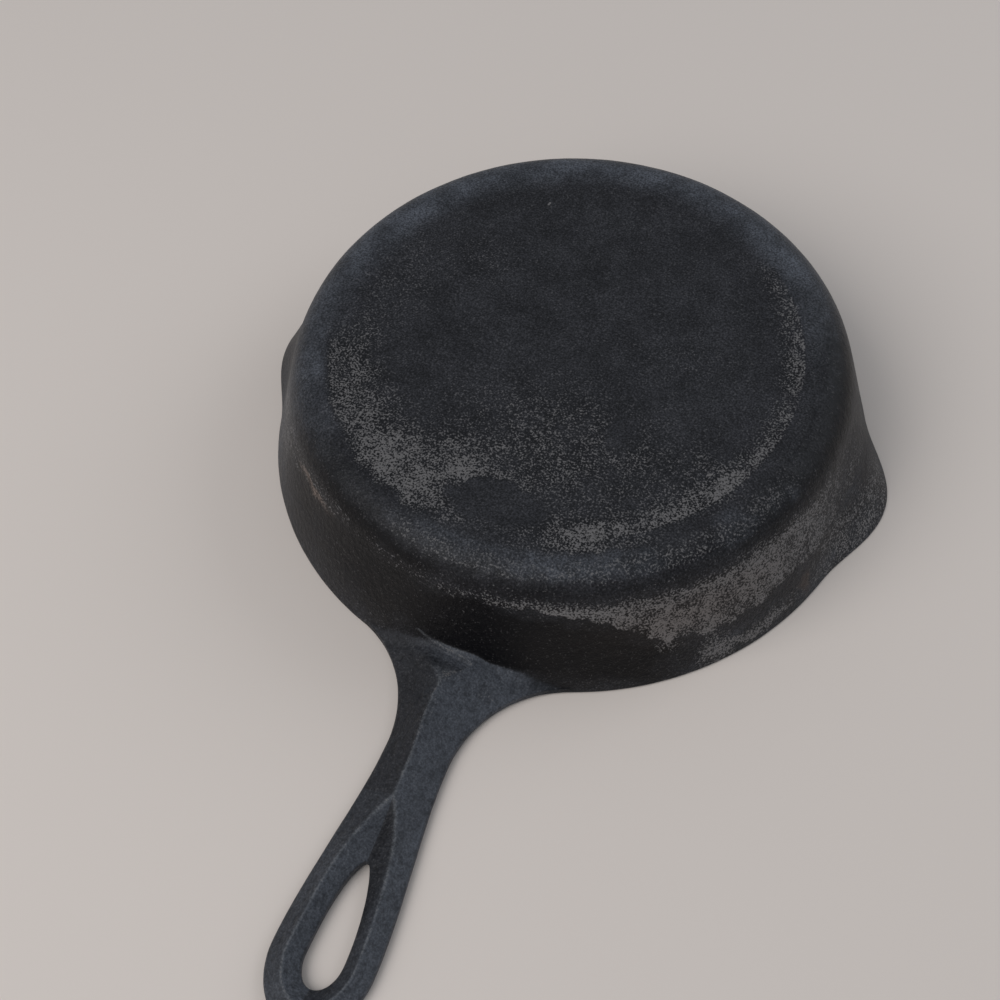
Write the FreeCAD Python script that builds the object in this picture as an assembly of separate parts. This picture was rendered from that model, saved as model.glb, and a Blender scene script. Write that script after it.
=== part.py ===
import FreeCAD, Part
import math
import os

# A cast iron skillet, lying upside down on its rim. All lengths are in millimetres and angles in degrees.
#
# The rim is in the plane z = 0, the outside of the floor faces +Z and the handle runs along -Y. The origin is
# where the bowl's axis meets the rim's plane. The real pan is one casting, so the solids below are its regions,
# as a patternmaker names them. Each one ends on faces that it shares with its neighbours.

# Bowl
RIM_RADIUS = 114.3            # outside of the wall at the rim
PAN_DEPTH = 52.0              # from the rim to the outside of the floor
WALL_TOP_RADIUS = 103.5       # outside of the wall where it turns into the heel
FLAT_RADIUS = 86.2            # flat part of the floor
HEEL_HEIGHT = 13.3            # height of the turn between the wall and the floor
RIM_THICKNESS = 3.0
WALL_THICKNESS = 3.2          # at the heel
FLOOR_THICKNESS = 3.4
HEEL_WALL_PULL = 0.70         # how far the heel's curve follows the wall, as a share of its height
HEEL_FLOOR_PULL = 0.60        # how far it follows the floor, as a share of its width

# Pouring lips
RIGHT_LIP_ANGLE = 3.0         # middle of each lip, counted from the +X axis towards +Y
LEFT_LIP_ANGLE = 179.0
LIP_REACH = 9.1               # how far a lip stands out of the round rim
LIP_HALF_ANGLE = 20.0         # half of the arc that a lip takes up at the rim
LIP_NARROWING = 0.45          # share of that arc which is lost at the top of the wall
LIP_FLARE = 1.3               # how quickly the lip dies out up the wall, 1 being evenly
LIP_ARC_STEPS = 24
LIP_RISE_STEPS = 8

# Handle, by distance from the bowl's axis
NECK_DISTANCE = 148.0         # narrowest place, where the flare from the rim ends
NECK_HALF_WIDTH = 11.4
FORK_DISTANCE = 166.0         # where the single ridge divides in two
BELLY_DISTANCE = 222.0        # widest place of the loop
BELLY_HALF_WIDTH = 17.5
TIP_DISTANCE = 245.0
HANDLE_LIFT = 1.0             # gap between the handle and what the rim lies on
EDGE_THICKNESS = 2.6          # of the handle along its outline
ROOT_RIDGE_HEIGHT = 14.0      # of the ridge above the rim's plane, where it meets the wall
NECK_RIDGE_HEIGHT = 11.0
FORK_RIDGE_HEIGHT = 9.2
LOOP_RIDGE_HEIGHT = 8.0
RIDGE_HALF_WIDTH = 0.6        # the ridge's narrow flat
ROOT_SPREAD_DISTANCE = 127.0  # where the ridge starts to spread into a ledge along the wall
ROOT_SPREAD_HALF_WIDTH = 15.0

# Hanging hole
HOLE_START_DISTANCE = 188.5
HOLE_BELLY_DISTANCE = 222.0
HOLE_END_DISTANCE = 232.0
HOLE_HALF_WIDTH = 6.7
HOLE_OPENING_POWER = 0.56     # how quickly the hole widens from its nose, less being quicker
HOLE_EDGE_HEIGHT = 4.2        # of the loop's inner edge above the rim's plane

SHANK_STATIONS = 5
ROOT_STATIONS = 9
VALLEY_STATIONS = 3
HOLE_SIDE_SHARES = (0.04, 0.12, 0.25, 0.45, 0.7, 1.0)
BOW_STATIONS = 7

# Worked out from the sizes above
WALL_TOP_HEIGHT = PAN_DEPTH - HEEL_HEIGHT
EDGE_HEIGHT = HANDLE_LIFT + EDGE_THICKNESS
FLARE_RADIUS = (NECK_HALF_WIDTH ** 2 + NECK_DISTANCE ** 2 - RIM_RADIUS ** 2) / (2 * (RIM_RADIUS - NECK_HALF_WIDTH))
FLARE_CENTRE_OFFSET = NECK_HALF_WIDTH + FLARE_RADIUS
FLARE_START_DISTANCE = RIM_RADIUS * NECK_DISTANCE / (RIM_RADIUS + FLARE_RADIUS)

ORIGIN = FreeCAD.Vector(0, 0, 0)
UP = FreeCAD.Vector(0, 0, 1)


def blend(share):
    """Ease from 0 to 1 with level ends."""
    return share * share * (3 - 2 * share)


def between(start, end, share):
    """Value at a share of the way from start to end."""
    return start + (end - start) * share


def outer_radius(height):
    """Outside radius of the wall, measured from the bowl's axis."""
    return between(RIM_RADIUS, WALL_TOP_RADIUS, height / WALL_TOP_HEIGHT)


def inner_radius(height):
    """Inside radius of the wall."""
    thickness = between(RIM_THICKNESS, WALL_THICKNESS, height / WALL_TOP_HEIGHT)
    return outer_radius(height) - thickness


def profile_point(radius, height):
    """Point of the bowl's section, in the XZ plane."""
    return FreeCAD.Vector(radius, 0, height)


def turned(edges, start_angle, span):
    """Solid made by turning a closed section about the bowl's axis."""
    face = Part.Face(Part.Wire(edges))
    face.rotate(ORIGIN, UP, start_angle)
    return face.revolve(ORIGIN, UP, span)


def line(start, end):
    """Straight edge."""
    return Part.LineSegment(start, end).toShape()


def heel_curve(wall_end, floor_end, slope):
    """Edge of the heel, leaving the wall along its slope and reaching the floor level with it."""
    rise = floor_end.z - wall_end.z
    width = wall_end.x - floor_end.x
    pull_up = HEEL_WALL_PULL * rise
    curve = Part.BezierCurve()
    curve.setPoles([
        wall_end,
        wall_end + FreeCAD.Vector(-slope * pull_up, 0, pull_up),
        floor_end + FreeCAD.Vector(HEEL_FLOOR_PULL * width, 0, 0),
        floor_end,
    ])
    return curve.toShape()


def base_disc():
    """Flat floor of the pan."""
    height = PAN_DEPTH - FLOOR_THICKNESS
    return Part.makeCylinder(FLAT_RADIUS, FLOOR_THICKNESS, FreeCAD.Vector(0, 0, height))


def heel_ring():
    """Rounded turn between the floor and the wall."""
    slope = (RIM_RADIUS - WALL_TOP_RADIUS) / WALL_TOP_HEIGHT
    outer_wall = profile_point(WALL_TOP_RADIUS, WALL_TOP_HEIGHT)
    outer_floor = profile_point(FLAT_RADIUS, PAN_DEPTH)
    inner_floor = profile_point(FLAT_RADIUS, PAN_DEPTH - FLOOR_THICKNESS)
    inner_wall = profile_point(WALL_TOP_RADIUS - WALL_THICKNESS, WALL_TOP_HEIGHT)
    edges = [
        heel_curve(outer_wall, outer_floor, slope),
        line(outer_floor, inner_floor),
        heel_curve(inner_wall, inner_floor, slope),
        line(inner_wall, outer_wall),
    ]
    return turned(edges, 0, 360)


def wall_sector(start_angle, span):
    """Plain stretch of the sloping wall between two pouring lips."""
    corners = [
        profile_point(RIM_RADIUS, 0),
        profile_point(WALL_TOP_RADIUS, WALL_TOP_HEIGHT),
        profile_point(WALL_TOP_RADIUS - WALL_THICKNESS, WALL_TOP_HEIGHT),
        profile_point(RIM_RADIUS - RIM_THICKNESS, 0),
    ]
    edges = [line(corners[i], corners[(i + 1) % 4]) for i in range(4)]
    return turned(edges, start_angle, span)


def lip_bulge(offset_angle, height):
    """How far the wall stands out of its cone, at an angle from the middle of a lip."""
    rise_share = height / WALL_TOP_HEIGHT
    half_angle = LIP_HALF_ANGLE * (1 - LIP_NARROWING * rise_share)
    reach = LIP_REACH * (1 - rise_share) ** LIP_FLARE
    if abs(offset_angle) >= half_angle:
        return 0.0
    return reach * math.cos(math.pi / 2 * offset_angle / half_angle) ** 2


def lip_surface(radius_of, middle_angle):
    """Smooth face of a lip, inside or outside, with the wall radius given by radius_of."""
    rows = []
    for rise_step in range(LIP_RISE_STEPS + 1):
        height = WALL_TOP_HEIGHT * rise_step / LIP_RISE_STEPS
        row = []
        for arc_step in range(LIP_ARC_STEPS + 1):
            offset = between(-LIP_HALF_ANGLE, LIP_HALF_ANGLE, arc_step / LIP_ARC_STEPS)
            angle = math.radians(middle_angle + offset)
            radius = radius_of(height) + lip_bulge(offset, height)
            row.append(FreeCAD.Vector(radius * math.cos(angle), radius * math.sin(angle), height))
        rows.append(row)
    surface = Part.BSplineSurface()
    surface.interpolate(rows)
    return surface


def side_curves(surface):
    """The four edges round a surface, in order round it."""
    first_u, last_u, first_v, last_v = surface.bounds()
    return [
        surface.uIso(first_u).toShape(),
        surface.vIso(last_v).toShape(),
        surface.uIso(last_u).toShape(),
        surface.vIso(first_v).toShape(),
    ]


def pour_lip(middle_angle):
    """Stretch of the wall that is drawn out into a pouring lip."""
    outer = lip_surface(outer_radius, middle_angle)
    inner = lip_surface(inner_radius, middle_angle)
    faces = [outer.toShape(), inner.toShape()]
    for outer_edge, inner_edge in zip(side_curves(outer), side_curves(inner)):
        faces.append(Part.makeRuledSurface(outer_edge, inner_edge))
    return closed_solid(faces)


def closed_solid(faces):
    """Solid inside a closed set of faces."""
    shell = Part.makeShell(faces)
    shell.sewShape()
    solid = Part.makeSolid(Part.Shell(shell.Faces))
    if solid.Volume < 0:
        solid.reverse()
    return solid


def outline_half_width(distance):
    """Half width of the handle at a distance from the bowl's axis."""
    if distance < NECK_DISTANCE:
        return FLARE_CENTRE_OFFSET - math.sqrt(FLARE_RADIUS ** 2 - (NECK_DISTANCE - distance) ** 2)
    if distance < BELLY_DISTANCE:
        share = (distance - NECK_DISTANCE) / (BELLY_DISTANCE - NECK_DISTANCE)
        return between(NECK_HALF_WIDTH, BELLY_HALF_WIDTH, blend(share))
    share = (distance - BELLY_DISTANCE) / (TIP_DISTANCE - BELLY_DISTANCE)
    return BELLY_HALF_WIDTH * math.sqrt(max(0.0, 1 - share * share))


def hole_half_width(distance):
    """Half width of the hanging hole between its nose and its widest place."""
    share = (distance - HOLE_START_DISTANCE) / (HOLE_BELLY_DISTANCE - HOLE_START_DISTANCE)
    return HOLE_HALF_WIDTH * math.sin(math.pi / 2 * share) ** HOLE_OPENING_POWER


def ridge_height(distance):
    """Height of the ridge above the rim's plane, from the wall to the fork."""
    if distance < NECK_DISTANCE:
        share = (distance - FLARE_START_DISTANCE) / (NECK_DISTANCE - FLARE_START_DISTANCE)
        return between(ROOT_RIDGE_HEIGHT, NECK_RIDGE_HEIGHT, share)
    share = (distance - NECK_DISTANCE) / (FORK_DISTANCE - NECK_DISTANCE)
    return between(NECK_RIDGE_HEIGHT, FORK_RIDGE_HEIGHT, share)


def ridge_half_width(distance):
    """Half width of the ridge's flat, which spreads into a ledge where it meets the wall."""
    if distance >= ROOT_SPREAD_DISTANCE:
        return RIDGE_HALF_WIDTH
    share = (ROOT_SPREAD_DISTANCE - distance) / (ROOT_SPREAD_DISTANCE - FLARE_START_DISTANCE)
    return between(RIDGE_HALF_WIDTH, ROOT_SPREAD_HALF_WIDTH, share)


def handle_section(distance):
    """Closed six-sided section of the handle, square to its length."""
    half_width = outline_half_width(distance)
    flat = ridge_half_width(distance)
    top = ridge_height(distance)
    right_side = [(half_width, HANDLE_LIFT), (half_width, EDGE_HEIGHT), (flat, top)]
    left_side = [(-side, height) for side, height in reversed(right_side)]
    points = [FreeCAD.Vector(side, -distance, height) for side, height in right_side + left_side]
    return Part.makePolygon(points + points[:1])


def handle_stretch(start_distance, end_distance, stations):
    """Stretch of the handle between two distances, ruled from station to station."""
    distances = [between(start_distance, end_distance, i / (stations - 1)) for i in range(stations)]
    return Part.makeLoft([handle_section(distance) for distance in distances], True, True)


def handle_root():
    """Flared root of the handle, fitted to the outside of the wall."""
    blank = handle_stretch(FLARE_START_DISTANCE, NECK_DISTANCE, ROOT_STATIONS)
    bowl = Part.makeCone(RIM_RADIUS, WALL_TOP_RADIUS, WALL_TOP_HEIGHT)
    return blank.cut(bowl)


def loop_section(outer_point, inner_point, ridge_share, ridge_top, inner_top):
    """Closed six-sided section of the loop, from its outline to its hole."""
    outer = FreeCAD.Vector(outer_point[0], -outer_point[1], 0)
    inner = FreeCAD.Vector(inner_point[0], -inner_point[1], 0)
    across = outer - inner
    half_flat = min(RIDGE_HALF_WIDTH / across.Length, ridge_share / 2)
    levels = [
        (1, HANDLE_LIFT),
        (1, EDGE_HEIGHT),
        (ridge_share + half_flat, ridge_top),
        (ridge_share - half_flat, ridge_top),
        (0, inner_top),
        (0, HANDLE_LIFT),
    ]
    points = [inner + across * share + UP * height for share, height in levels]
    return Part.makePolygon(points + points[:1])


def loop_arm_sections():
    """Sections of one arm of the loop, from the fork to the widest place of the hole."""
    stations = []
    for step in range(VALLEY_STATIONS):
        distance = between(FORK_DISTANCE, HOLE_START_DISTANCE, step / (VALLEY_STATIONS - 1))
        stations.append((0.0, distance))
    for share in HOLE_SIDE_SHARES:
        distance = between(HOLE_START_DISTANCE, HOLE_BELLY_DISTANCE, share)
        stations.append((hole_half_width(distance), distance))
    sections = []
    for number, inner_point in enumerate(stations):
        progress = number / (len(stations) - 1)
        outer_distance = between(FORK_DISTANCE, BELLY_DISTANCE, progress)
        outer_point = (outline_half_width(outer_distance), outer_distance)
        opening = min((inner_point[1] - FORK_DISTANCE) / (HOLE_START_DISTANCE - FORK_DISTANCE), 1.0)
        ridge_share = between(RIDGE_HALF_WIDTH / outline_half_width(FORK_DISTANCE), 0.5, opening)
        ridge_top = between(FORK_RIDGE_HEIGHT, LOOP_RIDGE_HEIGHT, progress)
        inner_top = between(FORK_RIDGE_HEIGHT, HOLE_EDGE_HEIGHT, opening)
        sections.append(loop_section(outer_point, inner_point, ridge_share, ridge_top, inner_top))
    return sections


def loop_bow_sections():
    """Sections of the loop's round end, from the widest place to the tip."""
    sections = []
    for step in range(1, BOW_STATIONS):
        turn = math.pi / 2 * step / (BOW_STATIONS - 1)
        across, along = math.cos(turn), math.sin(turn)
        outer_reach = TIP_DISTANCE - BELLY_DISTANCE
        hole_reach = HOLE_END_DISTANCE - HOLE_BELLY_DISTANCE
        outer_point = (BELLY_HALF_WIDTH * across, BELLY_DISTANCE + outer_reach * along)
        inner_point = (HOLE_HALF_WIDTH * across, HOLE_BELLY_DISTANCE + hole_reach * along)
        sections.append(loop_section(outer_point, inner_point, 0.5, LOOP_RIDGE_HEIGHT, HOLE_EDGE_HEIGHT))
    return sections


def hanging_loop():
    """End of the handle, where the ridge divides and runs round the hanging hole."""
    right_arm = Part.makeLoft(loop_arm_sections() + loop_bow_sections(), True, True)
    left_arm = right_arm.mirror(ORIGIN, FreeCAD.Vector(1, 0, 0))
    return right_arm.fuse(left_arm).removeSplitter()


def skillet():
    """Every region of the casting, by node name."""
    rear_span = LEFT_LIP_ANGLE - RIGHT_LIP_ANGLE - 2 * LIP_HALF_ANGLE
    front_span = 360 - 4 * LIP_HALF_ANGLE - rear_span
    return {
        "base_disc": base_disc(),
        "heel_ring": heel_ring(),
        "wall_front": wall_sector(LEFT_LIP_ANGLE + LIP_HALF_ANGLE, front_span),
        "wall_rear": wall_sector(RIGHT_LIP_ANGLE + LIP_HALF_ANGLE, rear_span),
        "pour_lip_right": pour_lip(RIGHT_LIP_ANGLE),
        "pour_lip_left": pour_lip(LEFT_LIP_ANGLE),
        "handle_root": handle_root(),
        "handle_shank": handle_stretch(NECK_DISTANCE, FORK_DISTANCE, SHANK_STATIONS),
        "hanging_loop": hanging_loop(),
    }


os.makedirs("parts", exist_ok=True)
for node, shape in skillet().items():
    shape.exportStep("parts/" + node + ".step")
    print(node, len(shape.Solids), shape.isValid(), round(shape.Volume), shape.BoundBox)
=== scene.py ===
"""Looks of a cast iron skillet that lies upside down on its rim.

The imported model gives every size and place. Each region of the casting is rebuilt here as a finer piece in
the same frame, in metres. The bowl's regions are sections turned about the bowl's axis by a node tree. The
handle's are sections laid along the handle. One seasoned iron finish runs over all of them.
"""

from __future__ import annotations

import logging
import math
from dataclasses import dataclass, field
from enum import Enum

import bpy
import numpy as np
from mathutils import Matrix, Vector

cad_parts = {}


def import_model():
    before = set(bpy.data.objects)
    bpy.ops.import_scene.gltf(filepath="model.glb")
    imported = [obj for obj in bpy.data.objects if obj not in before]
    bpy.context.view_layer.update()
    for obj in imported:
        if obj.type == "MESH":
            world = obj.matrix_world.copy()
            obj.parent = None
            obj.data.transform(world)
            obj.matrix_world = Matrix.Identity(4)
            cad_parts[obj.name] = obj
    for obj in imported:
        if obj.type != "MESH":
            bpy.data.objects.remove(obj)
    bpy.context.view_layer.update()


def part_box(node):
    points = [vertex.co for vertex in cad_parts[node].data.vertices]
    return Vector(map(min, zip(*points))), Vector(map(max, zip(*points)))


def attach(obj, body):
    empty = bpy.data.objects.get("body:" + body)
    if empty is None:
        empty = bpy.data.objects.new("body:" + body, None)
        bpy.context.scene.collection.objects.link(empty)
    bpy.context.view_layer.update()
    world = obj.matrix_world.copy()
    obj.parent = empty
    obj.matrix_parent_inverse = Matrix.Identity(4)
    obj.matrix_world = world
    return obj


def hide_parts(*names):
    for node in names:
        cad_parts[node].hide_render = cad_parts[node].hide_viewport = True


LOG = logging.getLogger("skillet")
MM = 0.001
TAU = 2 * math.pi
BODY = "root"
PLACE = "section_place"
DIRECTION = "skin_direction"
RIDGE = "ridge_nearness"
# share of painted light laid on each handle face: 1 where it looks right, less where it looks left
LIT_FACE = "lit_face_share"
MERGE_DISTANCE = 0.001 * MM

Array = np.ndarray
Colour = tuple[float, float, float]
Point = tuple[float, float]
Socket = bpy.types.NodeSocket


class Slot(Enum):
    """Material slots of the record."""

    BASE = "worn_base_iron"
    BOWL = "seasoned_iron"
    HANDLE = "cast_handle_iron"


# ---------------------------------------------------------------- sizes


@dataclass(frozen=True)
class BowlSizes:
    """Sizes of the bowl, in metres and radians."""

    rim_radius: float
    depth: float
    wall_top_radius: float
    wall_top_height: float
    flat_radius: float
    floor_thickness: float
    lip_reach: float = 9.1 * MM
    rim_thickness: float = 3.0 * MM
    wall_thickness: float = 3.2 * MM
    rim_rounding: float = 0.9 * MM
    heel_wall_pull: float = 0.70
    heel_floor_pull: float = 0.60
    right_lip_angle: float = math.radians(3.0)
    left_lip_angle: float = math.radians(179.0)
    lip_half_angle: float = math.radians(20.0)
    lip_narrowing: float = 0.45
    lip_flare: float = 1.3

    @classmethod
    def from_frame(cls) -> "BowlSizes":
        """Read the bowl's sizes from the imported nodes.

        Returns:
            The sizes.
        """
        base_low, base_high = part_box("base_disc")
        heel_low, heel_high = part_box("heel_ring")
        wall_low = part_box("wall_front")[0]
        return cls(
            rim_radius=-wall_low.y,
            depth=base_high.z,
            wall_top_radius=heel_high.x,
            wall_top_height=heel_low.z,
            flat_radius=base_high.x,
            floor_thickness=base_high.z - base_low.z,
        )

    @property
    def wall_slope(self) -> float:
        """How much the wall's radius shrinks for each metre of height."""
        return (self.rim_radius - self.wall_top_radius) / self.wall_top_height

    def outer_radius(self, height: Array | float) -> Array | float:
        """Outside radius of the wall at a height."""
        return self.rim_radius - self.wall_slope * height


@dataclass(frozen=True)
class HandleSizes:
    """Sizes of the handle, in metres. Distances are measured from the bowl's axis.

    The ridge's line is distance and how far it wanders right, in millimetres. The fillet's line is degrees
    off the handle's line and how far the fillet to the wall reaches there, in millimetres.
    """

    neck_distance: float
    fork_distance: float
    tip_distance: float
    belly_half_width: float
    lift: float
    fork_ridge_height: float
    neck_half_width: float = 11.4 * MM
    belly_distance: float = 222.0 * MM
    edge_height: float = 3.6 * MM
    feather_height: float = 1.7 * MM
    feather_distance: float = 117.0 * MM
    root_ridge_height: float = 12.7 * MM
    neck_ridge_height: float = 11.0 * MM
    ridge_rounding: float = 0.9 * MM
    edge_rounding: float = 0.8 * MM
    split_distance: float = 128.0 * MM
    step_width: float = 2.2 * MM
    ridge_line: tuple[Point, ...] = (
        (110.0, 9.0), (113.5, 7.0), (115.5, 5.6), (118.0, 3.9), (120.0, 2.6), (122.5, 1.2), (124.5, 0.3),
        (126.5, -0.5), (129.0, -1.2), (132.0, -1.5), (136.0, -1.5), (141.0, -1.1), (150.0, -0.2),
        (160.0, 0.0),
    )
    fillet_line: tuple[Point, ...] = (
        (-20.0, 0.8), (-17.0, 2.6), (-12.0, 4.6), (-6.5, 2.2), (6.0, 2.2), (10.0, 4.6), (13.0, 5.5),
        (17.0, 3.0), (20.0, 0.8),
    )
    ledge_right_corner: Point = (7.0 * MM, 113.5 * MM)
    ledge_left_corner: Point = (-16.7 * MM, 109.1 * MM)
    ledge_height: float = 12.4 * MM
    ledge_end: float = 118.0 * MM
    ledge_run: float = 14.0 * MM
    ledge_climb: float = 4.0 * MM
    ledge_rounding: float = 1.2 * MM
    hollow_height: float = 11.0 * MM
    hollow_end: float = 114.0 * MM
    hollow_run: float = 16.0 * MM
    hollow_climb: float = 5.0 * MM
    hollow_rounding: float = 1.6 * MM
    split_run: float = 6.0 * MM
    step_height: float = 4.0 * MM
    loop_ridge_height: float = 8.0 * MM
    loop_lean: float = 0.8 * MM
    crest_reach: float = 12.4 * MM
    crest_run: float = 20.0 * MM
    valley_slope: float = 0.47
    hole_start: float = 188.5 * MM
    hole_belly: float = 222.0 * MM
    hole_end: float = 232.0 * MM
    hole_half_width: float = 6.7 * MM
    hole_opening_power: float = 0.56
    hole_edge_height: float = 4.2 * MM
    hole_run: float = 10.0 * MM
    outer_valley_share: float = 0.8
    crest_limit: float = 0.9
    under_rounding_share: float = 0.8
    feather_rounding_share: float = 0.45
    face_blend: float = 0.45 * MM
    ridge_reach: float = 0.55 * MM

    # The face mark is the share of painted light that the finish lays on that face.
    def marks(self, gap: Array, right: float = 1.0, left: float = 0.0) -> Array:
        """Marks for the finish, from the gap between the two faces that meet at a ridge.

        Args:
            gap: How far the left-hand face's height is above the right-hand one's.
            right: Mark of the right-hand face.
            left: Mark of the left-hand face.

        Returns:
            For each place, how near it is to the ridge from 0 to 1, and the mark of the face that it is on.
        """
        share = 0.5 + 0.5 * np.tanh(gap / self.face_blend)
        return np.stack([np.exp(-((gap / self.ridge_reach) ** 2)), left + (right - left) * share], axis=-1)

    @classmethod
    def from_frame(cls) -> "HandleSizes":
        """Read the handle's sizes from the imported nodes.

        Returns:
            The sizes.
        """
        shank_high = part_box("handle_shank")[1]
        loop_low, loop_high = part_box("hanging_loop")
        return cls(
            neck_distance=-shank_high.y,
            fork_distance=-loop_high.y,
            tip_distance=-loop_low.y,
            belly_half_width=loop_high.x,
            lift=loop_low.z,
            fork_ridge_height=loop_high.z,
        )


# ---------------------------------------------------------------- objects


def new_object(name: str, data: bpy.types.ID) -> bpy.types.Object:
    """New object at the origin, in the scene.

    Args:
        name: Name of the object.
        data: What it shows.

    Returns:
        The object.
    """
    made = bpy.data.objects.new(name, data)
    bpy.context.scene.collection.objects.link(made)
    return made


def mark_points(mesh: bpy.types.Mesh, label: str, values: Array) -> None:
    """Store a number or a vector for each point of a mesh, under a name."""
    kind, part = ("FLOAT", "value") if values.ndim == 1 else ("FLOAT_VECTOR", "vector")
    mesh.attributes.new(label, kind, "POINT").data.foreach_set(part, values.astype(np.float32).ravel())


# ---------------------------------------------------------------- node trees


class Tree:
    """Small helper that adds nodes to a tree and links them."""

    def __init__(self, tree: bpy.types.NodeTree) -> None:
        """Keep the tree to add to."""
        self.tree = tree

    def node(self, kind: str, inputs: dict | None = None, **settings: object) -> bpy.types.Node:
        """Add a node.

        Args:
            kind: Name of the node's type.
            inputs: A value or an output socket for each input, by name or by number.
            settings: Properties set on the node itself.

        Returns:
            The new node.
        """
        made = self.tree.nodes.new(kind)
        for name, value in settings.items():
            setattr(made, name, value)
        for key, value in (inputs or {}).items():
            self.feed(made.inputs[key], value)
        return made

    def feed(self, socket: Socket, value: object) -> None:
        """Link an output to a socket, or set the socket's own value.

        Args:
            socket: Input socket.
            value: An output socket, or a value.
        """
        if isinstance(value, Socket):
            self.tree.links.new(value, socket)
        else:
            socket.default_value = value

    def math(self, operation: str, *values: object, clamp: bool = False) -> Socket:
        """Result of a Math node."""
        made = self.node("ShaderNodeMath", dict(enumerate(values)), operation=operation, use_clamp=clamp)
        return made.outputs[0]

    def plus(self, first: object, second: object) -> Socket:
        """Sum of two numbers."""
        return self.math("ADD", first, second)

    def minus(self, first: object, second: object) -> Socket:
        """First number less the second."""
        return self.math("SUBTRACT", first, second)

    def times(self, first: object, second: object, clamp: bool = False) -> Socket:
        """Product of two numbers, kept between 0 and 1 if asked."""
        return self.math("MULTIPLY", first, second, clamp=clamp)

    def linear(self, value: object, slope: object, start: object) -> Socket:
        """A number times a slope, plus a start."""
        return self.math("MULTIPLY_ADD", value, slope, start)

    def vector(self, operation: str, *values: object) -> Socket:
        """Vector result of a Vector Math node."""
        made = self.node("ShaderNodeVectorMath", dict(enumerate(values)), operation=operation)
        return made.outputs["Value"] if operation == "LENGTH" else made.outputs["Vector"]

    def scaled(self, vector: object, factor: object) -> Socket:
        """A vector times a number."""
        made = self.node("ShaderNodeVectorMath", {0: vector, "Scale": factor}, operation="SCALE")
        return made.outputs["Vector"]

    def combine(self, x: object, y: object, z: object) -> Socket:
        """A vector from three numbers."""
        return self.node("ShaderNodeCombineXYZ", {0: x, 1: y, 2: z}).outputs[0]

    def separate(self, vector: object) -> list[Socket]:
        """The three numbers of a vector."""
        return list(self.node("ShaderNodeSeparateXYZ", {0: vector}).outputs)

    def noise(self, vector: object, scale: float, detail: float = 2.0, roughness: float = 0.5) -> Socket:
        """Noise about 0.5, in pattern sizes per unit of the vector."""
        inputs = {"Vector": vector, "Scale": scale, "Detail": detail, "Roughness": roughness}
        return self.node("ShaderNodeTexNoise", inputs).outputs[0]

    def remap(
        self, value: object, low: object, high: object, start: object = 0.0, end: object = 1.0
    ) -> Socket:
        """Ease from start to end as value goes from low to high.

        Args:
            value: What goes from low to high.
            low: Where the ramp starts.
            high: Where it ends.
            start: Result at its start.
            end: Result at its end.

        Returns:
            The result.
        """
        made = self.node(
            "ShaderNodeMapRange",
            {"Value": value, "From Min": low, "From Max": high, "To Min": start, "To Max": end},
            interpolation_type="SMOOTHSTEP",
        )
        return made.outputs[0]


class ShapeTree(Tree):
    """A geometry tree with named inputs."""

    def __init__(self, name: str, inputs: dict[str, tuple[str, object]]) -> None:
        """Start a tree.

        Args:
            name: Name of the tree.
            inputs: Socket type and default for each input, by name. The geometry comes first.
        """
        super().__init__(bpy.data.node_groups.new(name, "GeometryNodeTree"))
        face = self.tree.interface
        face.new_socket("Geometry", in_out="INPUT", socket_type="NodeSocketGeometry")
        for label, (kind, default) in inputs.items():
            socket = face.new_socket(label, in_out="INPUT", socket_type=kind)
            if default is not None:
                socket.default_value = default
        face.new_socket("Geometry", in_out="OUTPUT", socket_type="NodeSocketGeometry")
        self.source = self.tree.nodes.new("NodeGroupInput")
        self.end = self.tree.nodes.new("NodeGroupOutput")

    def given(self, label: str) -> Socket:
        """Output of the group input that carries a named input."""
        return self.source.outputs[label]

    def named(self, attribute: str) -> Socket:
        """A vector attribute of the geometry."""
        made = self.node("GeometryNodeInputNamedAttribute", {"Name": attribute}, data_type="FLOAT_VECTOR")
        return made.outputs[0]

    def close(self, geometry: Socket) -> None:
        """End the tree with real geometry that carries the given material.

        Args:
            geometry: What the tree has made.
        """
        real = self.node("GeometryNodeRealizeInstances", {"Geometry": geometry}).outputs[0]
        dressed = self.node("GeometryNodeSetMaterial", {"Geometry": real, "Material": self.given("Material")})
        self.tree.links.new(dressed.outputs[0], self.end.inputs[0])

    def skinned(self, geometry: Socket, direction: Socket) -> Socket:
        """Geometry pushed in and out along a direction by the swell and the dimples of an as-cast skin.

        Args:
            geometry: What to push.
            direction: Outward direction of the skin.

        Returns:
            The pushed geometry.
        """
        place = self.node("GeometryNodeInputPosition").outputs[0]
        place = self.vector("ADD", place, self.given("Skin Shift"))
        heights = []
        for word in ("Swell", "Dimple"):
            scale = self.math("DIVIDE", 1.0, self.given(word + " Size"))
            level = self.minus(self.noise(place, scale, 1.0), 0.5)
            heights.append(self.times(level, self.given(word + " Height")))
        offset = self.scaled(direction, self.plus(*heights))
        return self.node("GeometryNodeSetPosition", {"Geometry": geometry, "Offset": offset}).outputs[0]


SKIN_INPUTS: dict[str, tuple[str, object]] = {
    "Swell Height": ("NodeSocketFloat", 0.35 * MM),
    "Swell Size": ("NodeSocketFloat", 24.0 * MM),
    "Dimple Height": ("NodeSocketFloat", 0.10 * MM),
    "Dimple Size": ("NodeSocketFloat", 4.5 * MM),
    "Skin Shift": ("NodeSocketVector", (0.31, 0.17, 0.05)),
    "Material": ("NodeSocketMaterial", None),
}


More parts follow.
